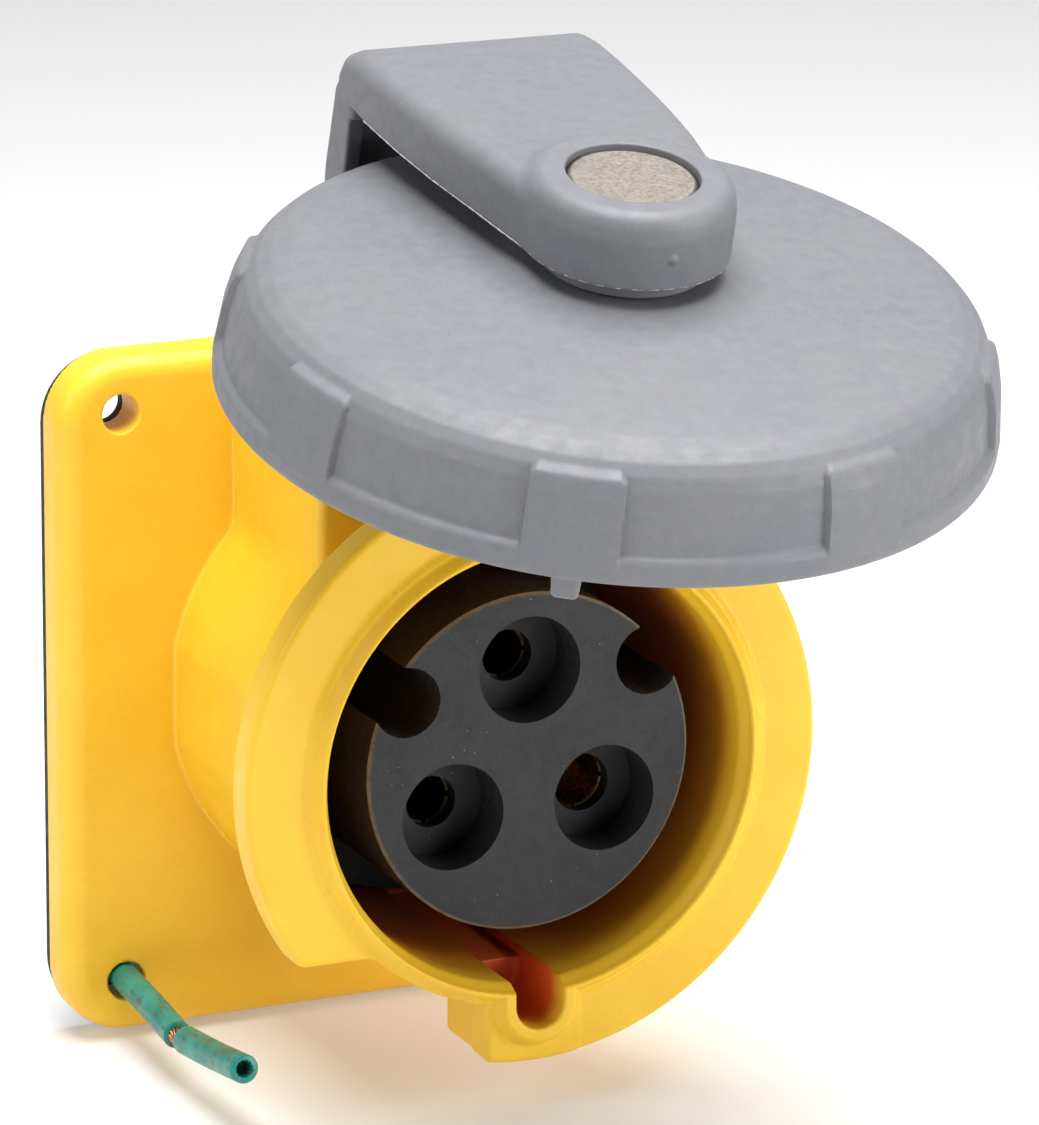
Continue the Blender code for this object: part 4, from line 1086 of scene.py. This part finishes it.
def make_gasket():
    half, tall, corner = PLATE_HALF - 0.0003, PLATE_HALF - 0.0010, PLATE_CORNER
    outline = [(sx * (half - corner) + corner * math.cos(math.radians(turn)),
                sy * (tall - corner) + corner * math.sin(math.radians(turn)))
               for number, (sx, sy) in enumerate(((1, 1), (-1, 1), (-1, -1), (1, -1)))
               for turn in np.linspace(90 * number, 90 * number + 90, 13)]
    mesh = bmesh.new()
    floor = mesh.faces.new([mesh.verts.new((x, y, 0.0)) for x, y in outline])
    grown = bmesh.ops.extrude_face_region(mesh, geom=[floor])["geom"]
    lifted = [item for item in grown if isinstance(item, bmesh.types.BMVert)]
    bmesh.ops.translate(mesh, verts=lifted, vec=(0, 0, PLATE_BACK - GAP))
    bmesh.ops.recalc_face_normals(mesh, faces=mesh.faces)
    data = bpy.data.meshes.new("gasket")
    mesh.to_mesh(data)
    mesh.free()
    data.transform(BARREL_AXES)
    gasket = added("gasket", data)
    tools = [rod("gasket_opening", 0.0480, -0.01, 0.01, steps=128)]
    for number, (sx, sy) in enumerate(((-1, 1), (1, 1), (-1, -1), (1, -1))):
        tools.append(rod(f"gasket_hole_{number}", HOLE_RADIUS, -0.01, 0.03,
                         centre=(sx * HOLE_X, sy * HOLE_Y), steps=48))
    dressed(cut(gasket, *tools), "mounting_gasket", "receptacle", "black_rubber", 0.0005, 3)


# ---- the earthing lead -------------------------------------------------------------------------
def smooth_route(points, steps):
    """A Catmull-Rom curve through the points, in the row's axes."""
    points = [BARREL_AXES @ Vector(point) for point in points]
    ends = [2 * points[0] - points[1]] + points + [2 * points[-1] - points[-2]]
    route = []
    for a, b, c, d in zip(ends, ends[1:], ends[2:], ends[3:]):
        for t in np.arange(steps) / steps:
            route.append(0.5 * (2 * b + (c - a) * t + (2 * a - 5 * b + 4 * c - d) * t ** 2
                                + (3 * b - a - 3 * c + d) * t ** 3))
    return np.array(route + [points[-1]])


def swept(name, route, rings):
    """A closed tube along a route. Each ring is a distance along it and the radii round it."""
    step = np.linalg.norm(np.diff(route, axis=0), axis=1)
    length = np.concatenate([[0], np.cumsum(step)])
    lines = np.gradient(route, axis=0)
    lines /= np.linalg.norm(lines, axis=1)[:, None]
    normal = np.cross(lines[0], (0.3, 0.2, 0.9))
    normals = []
    for line in lines:
        normal = normal - line * (normal @ line)
        normal = normal / np.linalg.norm(normal)
        normals.append(normal)
    normals = np.array(normals)
    others = np.cross(lines, normals)

    def at(values, s):
        return np.array([np.interp(s, length, values[:, axis]) for axis in range(3)])

    sides = len(rings[0][1])
    turns = np.linspace(0, 2 * math.pi, sides, endpoint=False)
    points = []
    for s, radii in rings:
        n, b = at(normals, s), at(others, s)
        points.append(at(route, s) + radii[:, None] * (np.cos(turns)[:, None] * n
                                                       + np.sin(turns)[:, None] * b))
    points = np.concatenate(points + [[at(route, rings[0][0]), at(route, rings[-1][0])]])
    faces = []
    for k in range(len(rings) - 1):
        for i in range(sides):
            j = (i + 1) % sides
            faces.append((k * sides + i, (k + 1) * sides + i, (k + 1) * sides + j, k * sides + j))
    first, last = len(points) - 2, len(points) - 1
    top = (len(rings) - 1) * sides
    for i in range(sides):
        j = (i + 1) % sides
        faces.append((first, i, j))
        faces.append((last, top + j, top + i))
    data = as_mesh(name, points, faces, Matrix.Identity(4))
    mesh = bmesh.new()
    mesh.from_mesh(data)
    bmesh.ops.recalc_face_normals(mesh, faces=mesh.faces)
    mesh.to_mesh(data)
    mesh.free()
    data.shade_smooth()
    data.set_sharp_from_angle(angle=math.radians(50))
    return added(name, data), float(length[-1])


def round_rings(spots, radius, sides=40):
    """Round rings of one radius, or of one for each spot."""
    return [(s, np.full(sides, r)) for s, r in zip(spots, np.broadcast_to(radius, len(spots)))]


def route_length(route):
    return float(np.linalg.norm(np.diff(route, axis=0), axis=1).sum())


def make_lead():
    route = smooth_route(LEAD_ROUTE, 14)
    length = route_length(route)
    spots = np.concatenate([np.linspace(0, length - 0.0002, 130), [length]])
    radius = np.full(131, WIRE)
    radius[-1] = WIRE - 0.00025
    rings = round_rings(spots, radius)
    rings.append((length, np.full(40, 0.0017)))
    rings.append((length - 0.0006, np.full(40, 0.0016)))
    lead, _ = swept("lead", route, rings)
    finish_piece(lead, "ground_lead", "receptacle", "green_insulation")

    bare = smooth_route(STRAND_ROUTE, 10)
    lines = np.linspace(0, 1, 24)
    forward = (bare[-1] - bare[0]) / np.linalg.norm(bare[-1] - bare[0])
    side = np.cross(forward, (0.0, 0.2, 1.0))
    side /= np.linalg.norm(side)
    over = np.cross(forward, side)
    start, end = bare[0] - forward * 0.0011, bare[-1] + forward * 0.0012
    for ring, count, reach, phase in ((1, 11, 0.00158, 0.0), (0, 6, 0.00086, 0.3)):
        for number in range(count):
            bulge = 1 + 0.10 * math.sin(number * 2.4) * np.sin(lines * math.pi)
            twist = 1.5 + 0.12 * math.sin(number * 5)
            turn = phase + 2 * math.pi * number / count + lines * twist
            line = (start + (end - start) * lines[:, None]
                    + reach * (bulge * np.cos(turn))[:, None] * side
                    + reach * (bulge * np.sin(turn))[:, None] * over)
            strand, _ = swept(f"strand_{ring}_{number}", line,
                              round_rings(np.linspace(0, route_length(line), 16), STRAND, 10))
            finish_piece(strand, None, "receptacle", "copper")
    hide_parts("ground_lead_strands")

    route_out = smooth_route(SLEEVE_ROUTE, 16)
    far = route_length(route_out)
    turns = np.linspace(0, 2 * math.pi, 72, endpoint=False)
    star = 0.00165 + 0.00024 * np.abs(np.cos(6 * turns)) ** 0.7
    rings = [(0.0006, np.full(72, 0.0016)), (0.0, np.full(72, 0.0017))]
    rings += [(s, np.full(72, r)) for s, r in
              zip(np.concatenate([[0.0], np.linspace(0.0003, far - 0.0003, 60), [far]]),
                  np.concatenate([[WIRE - 0.0002], np.full(60, WIRE), [WIRE - 0.0003]]))]
    rings += [(far, star + 0.0001), (far - 0.0004, star), (far - 0.0050, star * 0.98)]
    sleeve, _ = swept("lead_end", route_out, rings)
    finish_piece(sleeve, "ground_lead_sleeve", "receptacle", "green_insulation")


def make_flash():
    """The thin broken lines of plastic that the mould's parting left on the boss and arm."""
    height = RIM + BOSS_BOTTOM - SKIRT
    past = 0.13                 # radians that the line goes on past the boss's half circle
    out = BOSS + 0.00022
    around = [(out * math.cos(turn), -HINGE_UP + out * math.sin(turn), height)
              for turn in np.linspace(-math.pi - past, past, 40)]
    left = [(-arm_width(y), y, RIM + np.interp(-y, (0.0100, 0.0502), (0.0333, 0.0349)))
            for y in (-0.0040, -0.0200, -0.0350, -0.0500, -0.0600, -0.0700)]
    seam = [(0.0, -HINGE_UP - BOSS, up) for up in np.linspace(height, RIM + GATE_UP, 6)]
    for name, line in (("boss_flash", around), ("arm_flash", left), ("gate_seam", seam)):
        route = np.array([tuple(HINGE_AXES @ Vector(spot)) for spot in line])
        length = route_length(route)
        spots = np.linspace(0, length, max(int(length / 0.0006), 8))
        wave = 0.00016 + 0.00007 * np.sin(spots * 2900) * np.sin(spots * 1130 + 1.0)
        flash, _ = swept(name, route, round_rings(spots, wave, 8))
        finish_piece(flash, None, "arm", "grey_nylon_thin")


# ---- stage and light ---------------------------------------------------------------------------
def make_stage():
    """A pale floor that runs up into a pale wall behind."""
    low = cad_low[2] - 0.0015
    outline = [(-30.0, low)] + [(1.6 + 0.9 * math.sin(t), low + 0.9 * (1 - math.cos(t)))
                               for t in np.linspace(0, math.pi / 2, 17)] + [(2.5, 6.0)]
    mesh = bmesh.new()
    rows = [[mesh.verts.new((x, y, z)) for y, z in outline] for x in (-30.0, 30.0)]
    for k in range(len(outline) - 1):
        mesh.faces.new((rows[0][k], rows[1][k], rows[1][k + 1], rows[0][k + 1]))
    data = bpy.data.meshes.new("floor")
    mesh.to_mesh(data)
    mesh.free()
    data.shade_smooth()
    look = Look("pale_floor", 0.9, Specular_IOR_Level=0.1)
    look.put("Base Color", look.mix(look.noise(0.4, 2.0), (0.70, 0.70, 0.70), (0.73, 0.73, 0.73)))
    look.put("Emission Color", (1.0, 1.0, 1.0))
    look.put("Emission Strength", FLOOR_GLOW)
    data.materials.append(look.material)
    added("floor", data)


def soft_light(name, place, target, width, height, power):
    data = bpy.data.lights.new(name, "AREA")
    data.shape = "RECTANGLE"
    data.size, data.size_y = width, height
    data.energy = power
    lamp = bpy.data.objects.new(name, data)
    lamp.location = place
    lamp.rotation_euler = (Vector(target) - Vector(place)).to_track_quat("-Z", "Y").to_euler()
    bpy.context.scene.collection.objects.link(lamp)


def make_light():
    middle = (0.0, -0.06, 0.03)
    soft_light("top", (0.02, -0.24, 1.24), middle, 1.2, 1.0, TOP_POWER)
    soft_light("left", (-1.5, -0.42, 0.75), middle, 1.0, 1.0, LEFT_POWER)
    soft_light("right", (1.1, -1.3, 0.40), middle, 0.8, 1.0, RIGHT_POWER)
    world = bpy.data.worlds.new("studio")
    world.use_nodes = True
    background = world.node_tree.nodes["Background"]
    background.inputs["Color"].default_value = (1.0, 1.0, 1.0, 1.0)
    background.inputs["Strength"].default_value = WORLD_LIGHT
    bpy.context.scene.world = world
    bpy.context.scene.view_settings.view_transform = "Standard"


FLOOR_GLOW = 0.22
TOP_POWER, LEFT_POWER, RIGHT_POWER, WORLD_LIGHT = 34.0, 8.5, 17.5, 0.03

make_camera()
make_lead()
moulded("housing_body", housing_field, (-0.0765, -0.0765, 0.0015), (0.0765, 0.0820, 0.0950),
        BARREL_AXES, "housing", "receptacle", "yellow_nylon")
make_gasket()
make_insert()
make_insert_screws()
make_contacts()
make_terminal_block()
make_hinge_pin()
moulded("arm_body", arm_field, (-0.0290, -0.0925, -0.0090), (0.0290, 0.0150, RIM + 0.0510),
        HINGE_AXES, "cover_arm", "arm", "grey_nylon", CELL * 0.9, 90000)
make_flash()
make_rivet()
make_cap()
make_lugs()
make_seal()
make_stage()
make_light()
